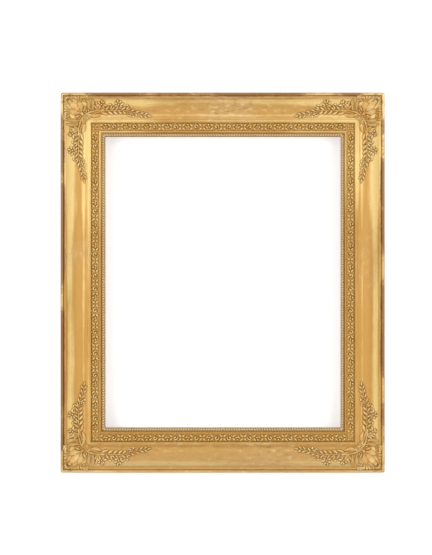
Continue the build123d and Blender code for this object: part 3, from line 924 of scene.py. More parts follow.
@dataclass
class Cove:
    """The four mitred front mouldings."""

    near_step: float = 0.9
    far_step: float = 7.0
    near_run: float = 195.0
    hollow_points: int = 56
    edge_points: int = 6
    # Share of the way across the hollow, then tone and recess there: painted highlight stripes where the
    # hollow catches the light, and painted shade in its creases and middle.
    painted_light_bands: tuple[tuple[float, float, float], ...] = (
        (0, 0.5, 0.2), (0.06, 0.0, 0.12), (0.12, 0.5, 0.02), (0.17, 0.65, 0.02), (0.22, 0.1, 0.05),
        (0.31, -0.1, 0.1), (0.4, -0.05, 0.1), (0.49, 0.2, 0.08), (0.59, 0.65, 0.02), (0.7, 1.1, 0.0),
        (0.83, 1.15, 0.0), (0.92, 0.8, 0.02), (1.0, 0.4, 0.1))
    light_fade_from: float = 40.0
    light_fade_to: float = 220.0

    def runs(self, *corners: Row) -> Array:
        """Points of straight or bowed runs from corner to corner, without the last.

        Args:
            corners: Each a u and v; then, for the run that starts there, its number of points, its rise,
                and the tone, recess and wear, each at its start and at its end.

        Returns:
            Rows of u, v, tone, recess and wear.
        """
        rows = []
        for (u, v, count, rise, *values), following in zip(corners, corners[1:]):
            t = np.arange(count)[:, None] / count
            start, end = np.array((u, v, *values[::2])), np.array((*following[:2], *values[1::2]))
            bow = 4 * rise * t * (1 - t)
            rows.append(start + (end - start) * t + bow * (0, 1, 0, 0, 0))
        return np.concatenate(rows)

    def profile(self) -> Array:
        """The new section. Its tone and recess paint light and shade across it: brighter stripes where the
        hollow catches the light, and darker grooves, creases and faces turned from the light.

        Returns:
            Points round the section, each with its u, v, tone, recess and wear.
        """
        s = SECTION
        round_u, round_v = s.width - s.outer_round, s.v_outer - s.outer_round
        inner = self.runs(
            (0, s.v_ledge, 2, 0, 0.3, 0.3, 0.5, 0.7, 0, 0),
            (0, s.v_seat, 4, 0, 0.3, 0.2, 0.4, 0.7, 0, 0),
            (s.u_fillet, s.v_seat, 3, 0, 0.3, 0.6, 0.3, 0.1, 0, 0.35),
            (s.u_fillet, s.v_fillet, 4, 0.25, 0.15, 0.35, 0.35, 0.2, 0.35, 0.35),
            (s.u_channel, s.v_fillet, 3, 0, 0.5, 0.2, 0.2, 1.0, 0.3, 0),
            (s.u_channel, s.v_channel, 4, 0, 0.2, 0.2, 1.0, 1.0, 0, 0),
            (s.u_bead, s.v_channel, 3, 0, 0.2, 0.4, 0.75, 0.25, 0, 0.1),
            (s.u_bead, s.v_cove, 9, s.bead_rise, 0.35, 0.6, 0.3, 0.12, 0.3, 0.0),
            (s.u_cove, s.v_cove))
        t = np.arange(self.hollow_points) / self.hollow_points
        bend = t * s.cove_arc / s.cove_r
        share, tones, shade_and_dirt = np.array(self.painted_light_bands).T
        hollow = np.stack((s.u_cove + s.cove_r * np.sin(bend), s.v_cove + s.cove_r * (1 - np.cos(bend)),
                           np.interp(t, share, tones), np.interp(t, share, shade_and_dirt), 0.12 * t**4), 1)
        lip = self.runs(
            (s.u_lip, s.v_lip, 8, s.lip_rise, 0.5, 0.2, 0.05, 0.2, 0.25, 0.95),
            (s.u_quirk, s.v_lip, 4, 0, 0.4, 0.2, 0.1, 0.4, 0.8, 0.8),
            (s.u_quirk, s.v_quirk, 3, 0, 0.2, 0.2, 0.4, 0.4, 0.8, 0.8),
            (s.u_outer, s.v_quirk, 2, 0, 0.2, 0.8, 0.4, 0.0, 0.8, 0.9),
            (s.u_outer, s.v_outer, 3, 0, 1.0, 1.0, 0, 0, 0.9, 1.0),
            (round_u, s.v_outer))
        t = np.arange(self.edge_points) / self.edge_points
        turn = math.pi / 2 * t
        edge = np.stack((round_u + s.outer_round * np.sin(turn), round_v + s.outer_round * np.cos(turn),
                         0.8 - 0.5 * t, 0.6 * t, np.ones_like(t)), 1)
        back = self.runs(
            (s.width, round_v, 8, 0, 0.3, 0.1, 0.05, 0.5, 0.8, 0.3),
            (s.width, s.v_back, 3, 0, 0.2, 0.2, 0.6, 0.6, 0, 0),
            (s.rebate_w, s.v_back, 1, 0, 0.2, 0.2, 0.6, 0.6, 0, 0),
            (s.rebate_w, s.v_ledge, 2, 0, 0.2, 0.2, 0.6, 0.6, 0, 0),
            (0, s.v_ledge))
        return np.concatenate((inner, hollow, lip, edge, back))

    def stations(self, half: float) -> Array:
        """Stations along a side, close together near the ends.

        Args:
            half: Half of the sight edge's length.

        Returns:
            Shares of the half length at which the section is set.
        """
        whole = half + SECTION.width
        far = np.linspace(self.near_run, whole, max(3, int((whole - self.near_run) / self.far_step)))
        share = 1 - np.concatenate((np.arange(0, self.near_run, self.near_step), far)) / whole
        return np.concatenate((-share, share[-2::-1]))

    def build(self, side: Side, castings: "Castings", finish: Material) -> None:
        """Builds one moulding, with the painted shade that lies round the castings on it.

        Args:
            side: The side that it is for.
            castings: What lies on it.
            finish: Its material.
        """
        s, rail, prof = SECTION, Rail(side), self.profile()
        share = self.stations(rail.half)
        u, v, tone, recess, wear = (np.tile(c, (len(share), 1)) for c in prof.T)
        w = share[:, None] * (rail.half + u)
        hollow = (u > s.u_cove + 1) & (u < s.u_lip - 1) & (v > s.v_cove)
        wave = 0.06 * np.sin(w / 23 + u / 9) + 0.04 * np.sin(w / 9.5 - u / 5)
        points = self.rounded(rail.place(u, v + np.where(hollow, wave, 0), w))
        # Painted shade on the hollow round the castings.
        dark = castings.painted_shade_on(u, rail.half - np.abs(w)) * ((u > s.u_bead) & (v > s.v_cove - 0.1))
        values = self.aged_and_lit(side, u, w, points[..., 2] / MM, tone, wear)
        darkening = AGEING_AND_LIGHT[side].soiled * (1 - self.outward(u)) * (u > s.u_cove)
        values["recess"] = np.maximum(recess + darkening, dark)
        values["along"] = (w + 900 * list(Side).index(side)) * MM
        spread = np.cumsum(np.hypot(*np.diff(prof[:, :2], axis=0, prepend=0).T))
        values["across"] = np.tile(spread, (len(share), 1)) * MM
        flat = {key: value.reshape(-1) for key, value in values.items()}
        piece = lofted(f"cove_{side.value}_gilded", points, False, SMOOTH_COVE, flat)
        dress(piece, finish, "frame", "gilt_moulding", "cove_" + side.value)

    def outward(self, u: Array) -> Array:
        """Share of the way across the hollow, from its inner side to the lip."""
        return np.clip((u - SECTION.u_cove) / (SECTION.u_lip - SECTION.u_cove), 0, 1)

    def aged_and_lit(self, side: Side, u: Array, w: Array, height: Array, tone: Array, wear: Array) -> Values:
        """The tone, wear and scuffs of one moulding, with painted light and shade in the tone.

        Args:
            side: Its side.
            u, w: Distances outward from the sight edge and along the side.
            height: Heights above the frame's middle.
            tone, wear: Tone and wear of the new section.

        Returns:
            The three values at each point.
        """
        past, half, outward = AGEING_AND_LIGHT[side], Rail(side).half, self.outward(u)
        patchy = np.clip(0.95 + 0.25 * np.sin(w / 47 + 1.3 * half) + 0.2 * np.sin(w / 19), 0.5, 1.3)
        patchy *= 1 - 0.6 * smoothstep(25, 60, np.abs(w) - half)
        # Painted light: the tone changes from the lower end to the upper end, besides random variation and a
        # rise near both ends.
        lower, upper = past.fade
        wander_and_light = 0.18 * np.sin(w / 61 + 7 * outward) * np.sin(w / 143 + 2)
        wander_and_light += lower + (upper - lower) * smoothstep(self.light_fade_from, self.light_fade_to, height)
        wander_and_light += past.end_gain * smoothstep(120, 170, np.abs(w))
        # Painted shade where a side of the hollow faces away from the light, together with dulling.
        inner, outer = past.shade_and_dulling
        place, reach, strength = past.scuff
        scuff = past.haze + strength * np.exp(-((w - place) / reach) ** 2)
        return {"tone": tone - inner - (outer - inner) * outward + wander_and_light,
                "wear": wear * np.where(u > SECTION.u_lip, past.edge_wear * patchy, 1.0),
                "scuff": scuff * smoothstep(0, 4, u - SECTION.u_bead)}

    def rounded(self, points: Array) -> Array:
        """Rounds the frame's outer corners.

        Args:
            points: Points in metres.

        Returns:
            The points, with those past a rounded outer corner brought in.
        """
        r = SECTION.corner_round * MM
        half = np.array((SECTION.sight_w / 2 + SECTION.width, SECTION.sight_h / 2 + SECTION.width)) * MM - r
        flat = points[..., (0, 2)]
        over = np.clip(np.abs(flat) - half, 0, None)
        reach = np.linalg.norm(over, axis=-1, keepdims=True)
        both = (over > 0).all(-1, keepdims=True) & (reach > r)
        moved = np.sign(flat) * (half + over * r / np.maximum(reach, 1e-12))
        points = points.copy()
        points[..., (0, 2)] = np.where(both, moved, flat)
        return points


@dataclass
class Spray:
    """A cast spray of leaves, drawn along a rail from the sight corner and inward from the lip.

    Places on the stem are given by their distance along the side.

    Attributes:
        stem: Distance along the side and outward from the sight edge.
        sight_leaves: Place, lean and length of each leaf toward the sight edge.
        lip_fans: Place, leans and length of the leaves toward the lip.
        rosettes: Distance along the side and outward, and size.
        buds: Place, and distance across from the stem.
        tail_pairs: Places of the paired leaves.
        scroll: Place, offset from it, start, sweep, radius, curl and half width of the scroll.
        leaf_w, leaf_h: Size of a leaf.
        points, root_points: Number of points along the stem, and along the strands at its root.
        root_gap: Distance of those strands from the stem.
    """

    stem: tuple[Row, ...] = ((-38, 38.0), (-23, 45.5), (-8, 51), (8, 53), (28, 53.5),
                             (46, 52.5), (60, 49), (74, 45), (88, 42.5))
    sight_leaves: tuple[Row, ...] = (
        (-29, 34, 25.0), (-7, 52, 19.0), (7, 60, 16.0), (18, 64, 15.0), (28, 64, 14.0), (37, 60, 13.0))
    lip_fans: tuple[tuple[float, Row, float], ...] = (
        (2, (58,), 15.0), (12, (78, 44), 15.0), (22, (62,), 14.0), (34, (48,), 13.0), (44, (74, 42), 14.0))
    rosettes: tuple[Row, ...] = ((-5, 65.5, 23.0), (30, 66.0, 24.0))
    buds: tuple[Row, ...] = ((13, -14), (47, -13), (59, 9))
    tail_pairs: Row = (53, 63, 72.5, 81)
    scroll: Row = (50, 1, 6.0, 200, -280, 4.4, 0.35, 1.3)
    leaf_w: float = 5.6
    leaf_h: float = 3.0
    points: int = 91
    root_points: int = 30
    root_gap: float = 2.9

    def path(self) -> Array:
        """Curves the stem through its places.

        Returns:
            Points along the stem, evenly spaced.
        """
        knots = np.array([(q, SECTION.inward(u)) for q, u in self.stem])
        ends = np.concatenate((2 * knots[:1] - knots[1:2], knots, 2 * knots[-1:] - knots[-2:-1]))
        t = np.linspace(0, 1, 12, endpoint=False)[:, None]
        fine = [0.5 * (2 * p1 + (p2 - p0) * t + (2 * p0 - 5 * p1 + 4 * p2 - p3) * t**2
                       + (3 * p1 - p0 - 3 * p2 + p3) * t**3)
                for p0, p1, p2, p3 in zip(ends, ends[1:], ends[2:], ends[3:])]
        fine = np.concatenate((*fine, knots[-1:]))
        run = np.concatenate(([0], np.cumsum(np.linalg.norm(np.diff(fine, axis=0), axis=1))))
        at = np.linspace(0, run[-1], self.points)
        return np.stack([np.interp(at, run, fine[:, k]) for k in (0, 1)], 1)

    def drawing(self) -> Relief:
        """Draws the spray.

        Returns:
            The whole spray as flat relief.
        """
        art = Relief()
        line = self.path()
        way = np.arctan2(*np.gradient(line, axis=0).T[::-1])
        heading = np.degrees(way)

        def node(q: float) -> tuple[float, float, float]:
            """Place and heading of the stem at a distance along the side."""
            k = int(np.argmin(np.abs(line[:, 0] - q)))
            return *line[k], heading[k]

        root = slice(self.root_points)
        narrow = np.linspace(1, 0.35, self.root_points)
        across = np.stack((-np.sin(way), np.cos(way)), 1)[root] * narrow[:, None]
        for place in (-self.root_gap, self.root_gap):
            art.strand(line[root] + place * across, 1.2 * narrow, np.full_like(narrow, 1.7))
        taper = np.linspace(1.4, 0.7, len(line))
        art.strand(line, taper, 1.5 + 0.4 * taper)
        for q, lean, reach in self.sight_leaves:
            x, y, turn = node(q)
            art.leaf(x, y, turn + lean, reach, 0.28 * reach + 2.8, self.leaf_h, -36)
        for q, leans, reach in self.lip_fans:
            x, y, turn = node(q)
            for lean in leans:
                length = reach * (0.7 + 0.3 * lean / max(leans))
                art.leaf(x, y, turn - lean, length, self.leaf_w, self.leaf_h, 18)
        for q in self.tail_pairs:
            x, y, turn = node(q)
            length, width = 13.0 - 0.03 * q, 0.95 * self.leaf_w
            for hand in (-1, 1):
                art.leaf(x, y, turn + hand * 46, length, width, self.leaf_h, -hand * 14)
        art.leaf(*line[-3], heading[-3], 13.0, 4.6, self.leaf_h)
        q, right, up, *curve = self.scroll
        x, y, _ = node(q)
        art.scroll(x + right, y + up, *curve, self.leaf_h)
        for q, u, size in self.rosettes:
            art.rosette(q, float(SECTION.inward(u)), 20 + q, size, 3.2)
        for q, away in self.buds:
            x, y, _ = node(q)
            art.bud(x, y + away, 4.6, 2.6, 0.35)
        return art

    def laid(self, points: Array, side: Side, end: int) -> Array:
        """Lays the drawing round the hollow at one end of a side.

        Args:
            points: Points of the drawing.
            side: The side.
            end: 1 or -1 for the end along it.

        Returns:
            The points in metres.
        """
        s, rail = SECTION, Rail(side)
        q, inward, h = points.T
        bend = (s.cove_arc - inward) / s.cove_r
        u = s.u_cove + (s.cove_r - h) * np.sin(bend)
        v = s.v_cove + s.cove_r - (s.cove_r - h) * np.cos(bend)
        return rail.place(u, np.minimum(v, s.v_lip + s.lip_rise), end * (rail.half - q))


@dataclass
class Cartouche:
    """The cast shell on a mitre, with fans of leaves and flowers; drawn from the sight corner.

    Attributes:
        fill: How far the casting fills the mitre's angle.
        stem: Places of the stem that crosses the mitre.
        shell, leaves: Heel, heading, size and bend of the round-ended and of the pointed leaves.
        crown_fan, side_fan: Heel, heading, spread, number of leaves and their size.
        crown_bud, root_bud: Middle, diameter, height and sunk share of the buds on the mitre.
        flower: Middle, turn, size, height and petals.
        scroll: Middle, start, sweep, radius, curl, half width and height.
        stem_points: Number of points along the stem.
    """

    fill: float = 3.5
    stem: tuple[Row, ...] = ((2, 53.5), (16, 53), (30, 49), (41, 42.5), (48, 35), (52, 25))
    shell: tuple[Row, ...] = (
        (23.5, 51.5, 98, 25, 8.0, 2.6, -14), (31.0, 51.5, 84, 24, 8.0, 2.6, 8),
        (44.5, 51.5, 82, 22, 8.0, 2.6, -30))
    leaves: tuple[Row, ...] = (
        (44, 50, 118, 13, 6.0, 2.4, 10), (22, 52.5, 62, 9, 3.8, 2.2, 8), (33, 48.5, 88, 9, 3.8, 2.2, 8),
        (40, 44, 12, 10, 3.8, 2.2, 8), (49, 35.5, 24, 9, 3.8, 2.2, 8), (48, 68, 108, 14, 5.4, 2.6, 6),
        (50, 69, 84, 13, 5.4, 2.6, 6), (52, 70, 58, 12, 5.4, 2.6, 6), (74, 72, 70, 10, 4.6, 2.2, 20),
        (37, 46, 190, 13, 5.0, 2.4, 14))
    crown_fan: tuple[float | int, ...] = (47, 47, 45, 66, 3, 32, 15.0, 3.6)
    side_fan: tuple[float | int, ...] = (12, 51, 78, 40, 3, 21, 7.0, 3.0)
    crown_bud: Row = (68, 68, 8.0, 3.2, 0.5)
    root_bud: Row = (46.5, 46.5, 7.0, 2.4, 0.5)
    flower: tuple[float | int, ...] = (36.5, 75.5, 10, 14, 2.6, 6)
    scroll: Row = (69, 78, 215, -245, 5.6, 0.42, 1.5, 2.0)
    stem_points: int = 24

    def drawing(self) -> Relief:
        """Draws the cartouche.

        Returns:
            The casting of the top right corner as flat relief.
        """
        art = Relief()
        art.fan(*self.crown_fan)
        art.bud(*self.crown_bud)
        for flip in (False, True):
            art.add(self.wing(), flip)
        art.bud(*self.root_bud)
        return art

    def wing(self) -> Relief:
        """Draws one wing.

        Returns:
            What lies on one side of the mitre.
        """
        art = Relief()
        for row in self.shell:
            art.leaf(*row, True)
        for row in self.leaves:
            art.leaf(*row)
        art.flower(*self.flower)
        art.fan(*self.side_fan)
        art.scroll(*self.scroll)
        count, knots = self.stem_points, range(len(self.stem))
        share = np.linspace(0, knots[-1], count)
        path = np.stack([np.interp(share, knots, c) for c in zip(*self.stem)], 1)
        art.strand(path, np.linspace(1.6, 1.2, count), np.linspace(1.7, 1.5, count))
        return art

    def laid(self, points: Array, corner: Corner) -> Array:
        """Lays the drawing over the hollow and the lip of one corner.

        Args:
            points: Points of the drawing.
            corner: The corner.

        Returns:
            The points in metres.
        """
        s = SECTION
        x, y, h = points.T
        full = np.where(h > 0, self.fill, 0.0)
        reach = (x + y) / 2 + np.hypot((x - y) / 2, full)
        over = smoothstep(s.u_lip - s.drape, s.u_lip, reach)
        v = s.cast_height(reach) + h * (1 - 0.55 * over)
        right, up = corner.value
        return np.stack((right * (s.sight_w / 2 + x), -v, up * (s.sight_h / 2 + y)), 1) * MM


@dataclass
class Castings:
    """All sprays and cartouches."""

    spray: Spray = field(default_factory=Spray)
    cartouche: Cartouche = field(default_factory=Cartouche)

    def __post_init__(self) -> None:
        """Draws the two castings."""
        self.spray_art, self.corner_art = self.spray.drawing(), self.cartouche.drawing()
        self.spray_map, self.corner_map = self.spray_art.map(), self.corner_art.map()

    def painted_shade_on(self, u: Array, q: Array) -> Array:
        """How dark the painted shade lies on the hollow round the castings.

        Args:
            u: Distances outward from the sight edge.
            q: Distances along the side from the nearer sight corner.

        Returns:
            The darkness at each point.
        """
        zero = np.zeros_like(u)
        flat = np.stack((q, SECTION.inward(u), zero), -1).reshape(-1, 3)
        corner = np.stack((-q, u, zero), -1).reshape(-1, 3)
        dark = np.maximum(self.spray_map.shade(flat)["recess"], self.corner_map.shade(corner)["recess"])
        return 0.55 * dark.reshape(u.shape)

    def build(self, finish: Material) -> None:
        """Builds the twelve castings in one finish.

        Args:
            finish: Their material.
        """
        points = self.spray_art.all_points()
        values = self.spray_map.shade(points)
        ends = {Side.TOP: ("right", "left"), Side.BOTTOM: ("left", "right"),
                Side.LEFT: ("top", "bottom"), Side.RIGHT: ("bottom", "top")}
        for side, names in ends.items():
            for end, name in zip((1, -1), names):
                laid = self.spray.laid(points, side, end)
                self.cast(f"spray_{side.value}_{name}", laid, self.spray_art, values, finish)
        points = self.corner_art.all_points()
        values = self.softened(points)
        for corner in Corner:
            laid = self.cartouche.laid(points, corner)
            self.cast("cartouche_" + corner.name.lower(), laid, self.corner_art, values, finish)

    def cast(self, node: str, laid: Array, art: Relief, values: Values, finish: Material) -> None:
        """Builds one casting for its CAD node, from its points in place."""
        piece = make_piece(node + "_cast", laid, art.faces, values, SMOOTH_RELIEF)
        dress(piece, finish, "frame", "gilt_ornament", node)

    def softened(self, points: Array) -> Values:
        """The cartouche's values, with weaker painted shade and highlight on the shell and less painted
        highlight along its rim.

        Args:
            points: Points of the drawing.

        Returns:
            Tone, recess and wear at each point.
        """
        values = self.corner_map.shade(points)
        shell = smoothstep(96, 118, points[:, 0] + points[:, 1])
        values["recess"] *= 1 - 0.45 * shell
        values["tone"] += 0.4 * shell * (0.5 - values["tone"])
        rim = smoothstep(68, 74, points[:, :2].max(1))
        values["tone"] -= 0.6 * rim * np.clip(values["tone"] - 0.3, 0, None)
        return values


class Growth(Tree):
    """A Geometry Nodes tree under construction."""

    def __init__(self, name: str) -> None:
        """Starts a tree.

        Args:
            name: The tree's name.
        """
        super().__init__(bpy.data.node_groups.new(name, "GeometryNodeTree"))
        self.names: dict[str, str] = {}
        self.entry = self.tree.nodes.new("NodeGroupInput")
        self.exit = self.tree.nodes.new("NodeGroupOutput")
        self.tree.interface.new_socket("Geometry", in_out="OUTPUT", socket_type="NodeSocketGeometry")
        self.add_input("Geometry", "Geometry")

    def add_input(self, name: str, kind: str) -> Socket:
        """Adds a named input.

        Args:
            name: Its name.
            kind: Its kind, as in the name of its socket's type.

        Returns:
            Its socket inside the tree.
        """
        made = self.tree.interface.new_socket(name, in_out="INPUT", socket_type="NodeSocket" + kind)
        self.names[name] = made.identifier
        return self.entry.outputs[name]

    def shape(self, name: str) -> Socket:
        """Adds an input for an object and gives its geometry."""
        info = self.node("GeometryNodeObjectInfo", {}, {"Object": self.add_input(name, "Object")})
        return info.outputs["Geometry"]

    def close(self, instances: Socket) -> None:
        """Makes the instances real, gives them the finish of a last input and ends the tree.

        Args:
            instances: The instances.
        """
        finish = self.add_input("Finish", "Material")
        real = self.node("GeometryNodeRealizeInstances", {}, {"Geometry": instances})
        done = self.node("GeometryNodeSetMaterial", {}, {"Geometry": real.outputs[0], "Material": finish})
        self.feed(self.exit.inputs[0], done.outputs[0])

    def run(self, name: str, values: dict) -> Piece:
        """Runs the tree on an empty mesh and gives the result as a plain piece.

        Args:
            name: The piece's name.
            values: The tree's inputs by name.

        Returns:
            The piece, with no modifier left on it.
        """
        piece = bpy.data.objects.new(name, bpy.data.meshes.new(name))
        bpy.context.scene.collection.objects.link(piece)
        modifier = piece.modifiers.new("growth", "NODES")
        modifier.node_group = self.tree
        for key, value in values.items():
            modifier[self.names[key]] = value
        graph = bpy.context.evaluated_depsgraph_get()
        mesh = bpy.data.meshes.new_from_object(piece.evaluated_get(graph), depsgraph=graph)
        piece.modifiers.clear()
        piece.data = mesh
        return piece


def repeat_tree(name: str) -> Growth:
    """A tree that sets two motifs along a line from its middle, one for each half.

    Args:
        name: The tree's name.

    Returns:
        The tree, with inputs for the motifs, their number and spacing, and the finish.
    """
    grow = Growth(name)
    count = grow.add_input("Count", "Int")
    pitch = Value(grow, grow.add_input("Pitch", "Float"))
    join = grow.node("GeometryNodeJoinGeometry", {}, {})
    for key, sign in HALVES:
        offset = grow.number("ShaderNodeCombineXYZ", {}, {"X": pitch * sign})
        line = grow.node("GeometryNodeMeshLine", {}, {"Count": count, "Offset": offset})
        put = grow.node("GeometryNodeInstanceOnPoints", {},
                        {"Points": line.outputs[0], "Instance": grow.shape(key)})
        grow.feed(join.inputs[0], put.outputs[0])
    grow.close(join.outputs[0])
    return grow


@dataclass
class Run:
    """A strip along each side whose ornament repeats: how it is placed and finished."""

    low: float
    high: float
    floor: float
    slot: str

    @property
    def middle(self) -> float:
        """The strip's middle line, outward from the sight edge."""
        return (self.low + self.high) / 2

    @property
    def half(self) -> float:
        """Half of the strip's width."""
        return (self.high - self.low) / 2

    def repeated(self, grow: Growth, name: str, art: Relief, values: Values, count: int,
                 pitch: float, finish: Material) -> Piece:
        """A strip, flat and in millimetres, of one motif that repeats both ways from its middle.

        Args:
            grow: The tree that repeats it.
            name: The piece's name.
            art: The motif.
            values: Named values on the motif's points.
            count: Number of motifs in each half.
            pitch: Spacing of the motifs.
            finish: The material.

        Returns:
            The piece.
        """
        halves = {key: plain_object(f"{name} {key}", art.all_points() * (sign, 1, 1), art.faces, values)
                  for key, sign in HALVES}
        return grow.run(name, {**halves, "Count": count, "Pitch": pitch, "Finish": finish})

    def settle(self, piece: Piece, side: Side, finish: Material, node: str) -> None:
        """Moves a strip from its own flat axes to its place on a side, cut at the mitres, and dresses it.

        Args:
            piece: The strip.
            side: The side that it is for.
            finish: Its material.
            node: The CAD node that it replaces.
        """
        rail, mesh = Rail(side), piece.data
        flat = np.empty(len(mesh.vertices) * 3)
        mesh.vertices.foreach_get("co", flat)
        x, y, h = flat.reshape(-1, 3).T
        u = np.clip(self.middle + y, self.low, self.high)
        w = np.clip(x, -rail.half - u, rail.half + u)
        mesh.vertices.foreach_set("co", rail.place(u, self.floor + h, w).reshape(-1))
        dress(finish_mesh(piece, SMOOTH_RELIEF), finish, "frame", self.slot, node)


@dataclass
class Frieze(Run):
    """The strips of pressed foliage.

    Attributes:
        pitch: Length of a repeat.
        corner: Half length of the corner block.
        relief: Height of the leaves.
        line: Width of the plain border.
        cell: Size of the ground's faces.
        darkening: How dark the ground is on each side: painted shade between the leaves, stronger on some
            sides.
        pairs, singles: Heel, heading, length, width and bend of the mirrored and of the other leaves.
        scroll: Middle, start, sweep, radius, curl and half width of the scroll.
        bud: Middle and diameter of the bud.
        block_flowers: Turn, size, height and petals of the flowers on a corner block.
    """

    low: float = SECTION.u_channel + 0.15
    high: float = SECTION.u_bead - 0.15
    floor: float = SECTION.v_frieze
    slot: str = "gilt_ornament"
    pitch: float = 42.0
    corner: float = 18.0
    relief: float = 2.2
    line: float = 1.6
    cell: float = 0.7
    darkening: dict[Side, float] = field(default_factory=lambda: {
        Side.TOP: 0.2, Side.BOTTOM: 0.35, Side.LEFT: 0.25, Side.RIGHT: 0.2})
    pairs: tuple[Row, ...] = (
        (0.4, 0.6, 40, 11.0, 5.4, 16), (19.0, 0.6, 34, 11.0, 5.4, 24),
        (41.6, 0.6, 140, 11.0, 5.4, -16), (10.6, 6.6, 8, 7.0, 3.6, -20))
    singles: tuple[Row, ...] = ((24.0, 0, 0, 9.0, 4.4, 0), (29.6, -4.2, 48, 10.0, 4.8, 14))
    scroll: Row = (13.0, 0.4, 230, -300, 4.6, 0.35, 1.7)
    bud: Row = (29.4, 4.4, 4.6)
    block_flowers: tuple[tuple[float, float, float, int], ...] = ((45, 14.5, 2.0, 4), (0, 9.5, 2.5, 4))

    def motif(self, pitch: float) -> Relief:
        """Draws one repeat.

        Args:
            pitch: Its length.

        Returns:
            One repeat: leaves in pairs, a scroll and a bud, on its piece of ground.
        """
        art = Relief()
        k = pitch / self.pitch
        self.ground(art, 0, pitch)
        for hand in (-1, 1):
            for x, y, turn, length, width, bend in self.pairs:
                art.leaf(k * x, hand * y, hand * turn, length, width, self.relief, hand * bend)
        x, *rest = self.scroll
        art.scroll(k * x, *rest, self.relief)
        for x, y, turn, length, width, bend in self.singles:
            art.leaf(k * x, y, turn, length, width, self.relief, bend)
        x, *rest = self.bud
        art.bud(k * x, *rest, self.relief)
        return art

    def ground(self, art: Relief, start: float, length: float) -> None:
        """Adds the flat ground under one repeat.

        Args:
            art: The drawing that gets it.
            start: Where it starts along the side.
            length: Its length.
        """
        half, depth = self.half, SECTION.v_frieze - SECTION.v_channel
        inner = half - self.line
        flat = np.linspace(-inner, inner, int(2 * inner / self.cell))
        row = [(-half, -depth), (-half, 0), *((y, 0.05) for y in flat), (half, 0), (half, -depth)]
        stations = np.linspace(start, start + length, int(length / self.cell))
        art.patch(np.array([[(x, y, h) for y, h in row] for x in stations]), (False, False))

    def end_block(self, start: float, middle: float) -> Relief:
        """Draws the square block with a flower, which the mitre cuts through.

        Args:
            start: Where it starts along the side.
            middle: Where its flowers lie.

        Returns:
            The block.
        """
        art = Relief()
        self.ground(art, start, 2 * self.corner)
        for row in self.block_flowers:
            art.flower(middle, 0, *row)
        return art

    def build(self, finish: Material) -> None:
        """Builds the four strips.

        Args:
            finish: Their material.
        """
        grow = repeat_tree("frieze_run")
        for side in Side:
            node = "frieze_" + side.value
            end = Rail(side).half + self.middle
            span = end - self.corner / 2
            count = int(span // self.pitch)
            pitch = span / count
            art, block = self.motif(pitch), self.end_block(span, end)
            values = self.shaded(art, side)
            piece = self.repeated(grow, node + "_pressed", art, values, count, pitch, finish)
            self.add_ends(piece, block, self.shaded(block, side))
            self.settle(piece, side, finish, node)

    def shaded(self, art: Relief, side: Side) -> Values:
        """The values that the gilding reads, with painted shade on the ground between the leaves and along
        both edges, and painted highlights on the leaves' tops.

        Args:
            art: The drawing.
            side: The side that it is for.

        Returns:
            Tone, recess and wear at each point.
        """
        points = art.all_points()
        values = art.map(cell=0.3, blur=1.0).shade(points)
        # Painted shade on the ground: full along both edges, and set for each side between the leaves.
        edge = np.abs(points[:, 1]) > self.half - 0.1
        ground = np.where(edge, 1.0, self.darkening[side]) * (points[:, 2] < 0.06)
        values["recess"] = np.maximum(values["recess"], ground)
        # Painted highlight rising toward the leaves' tops.
        rise = points[:, 2] / self.relief
        values["tone"] = 0.1 + 0.2 * smoothstep(0.2, 0.6, rise) + 0.4 * smoothstep(0.6, 1.0, rise)
        return values

    def add_ends(self, piece: Piece, art: Relief, values: Values) -> None:
        """Adds the corner blocks to a strip's mesh.

        Args:
            piece: The strip.
            art: The block.
            values: Named values on the block's points.
        """
        work = bmesh.new()
        work.from_mesh(piece.data)
        layers = {key: work.verts.layers.float[key] for key in values}
        for sign in (1, -1):
            made = [work.verts.new(p) for p in art.all_points() * (sign, 1, 1)]
            for key, layer in layers.items():
                for vert, value in zip(made, values[key]):
                    vert[layer] = value
            for face in art.faces:
                work.faces.new([made[i] for i in face])
        work.to_mesh(piece.data)
        work.free()


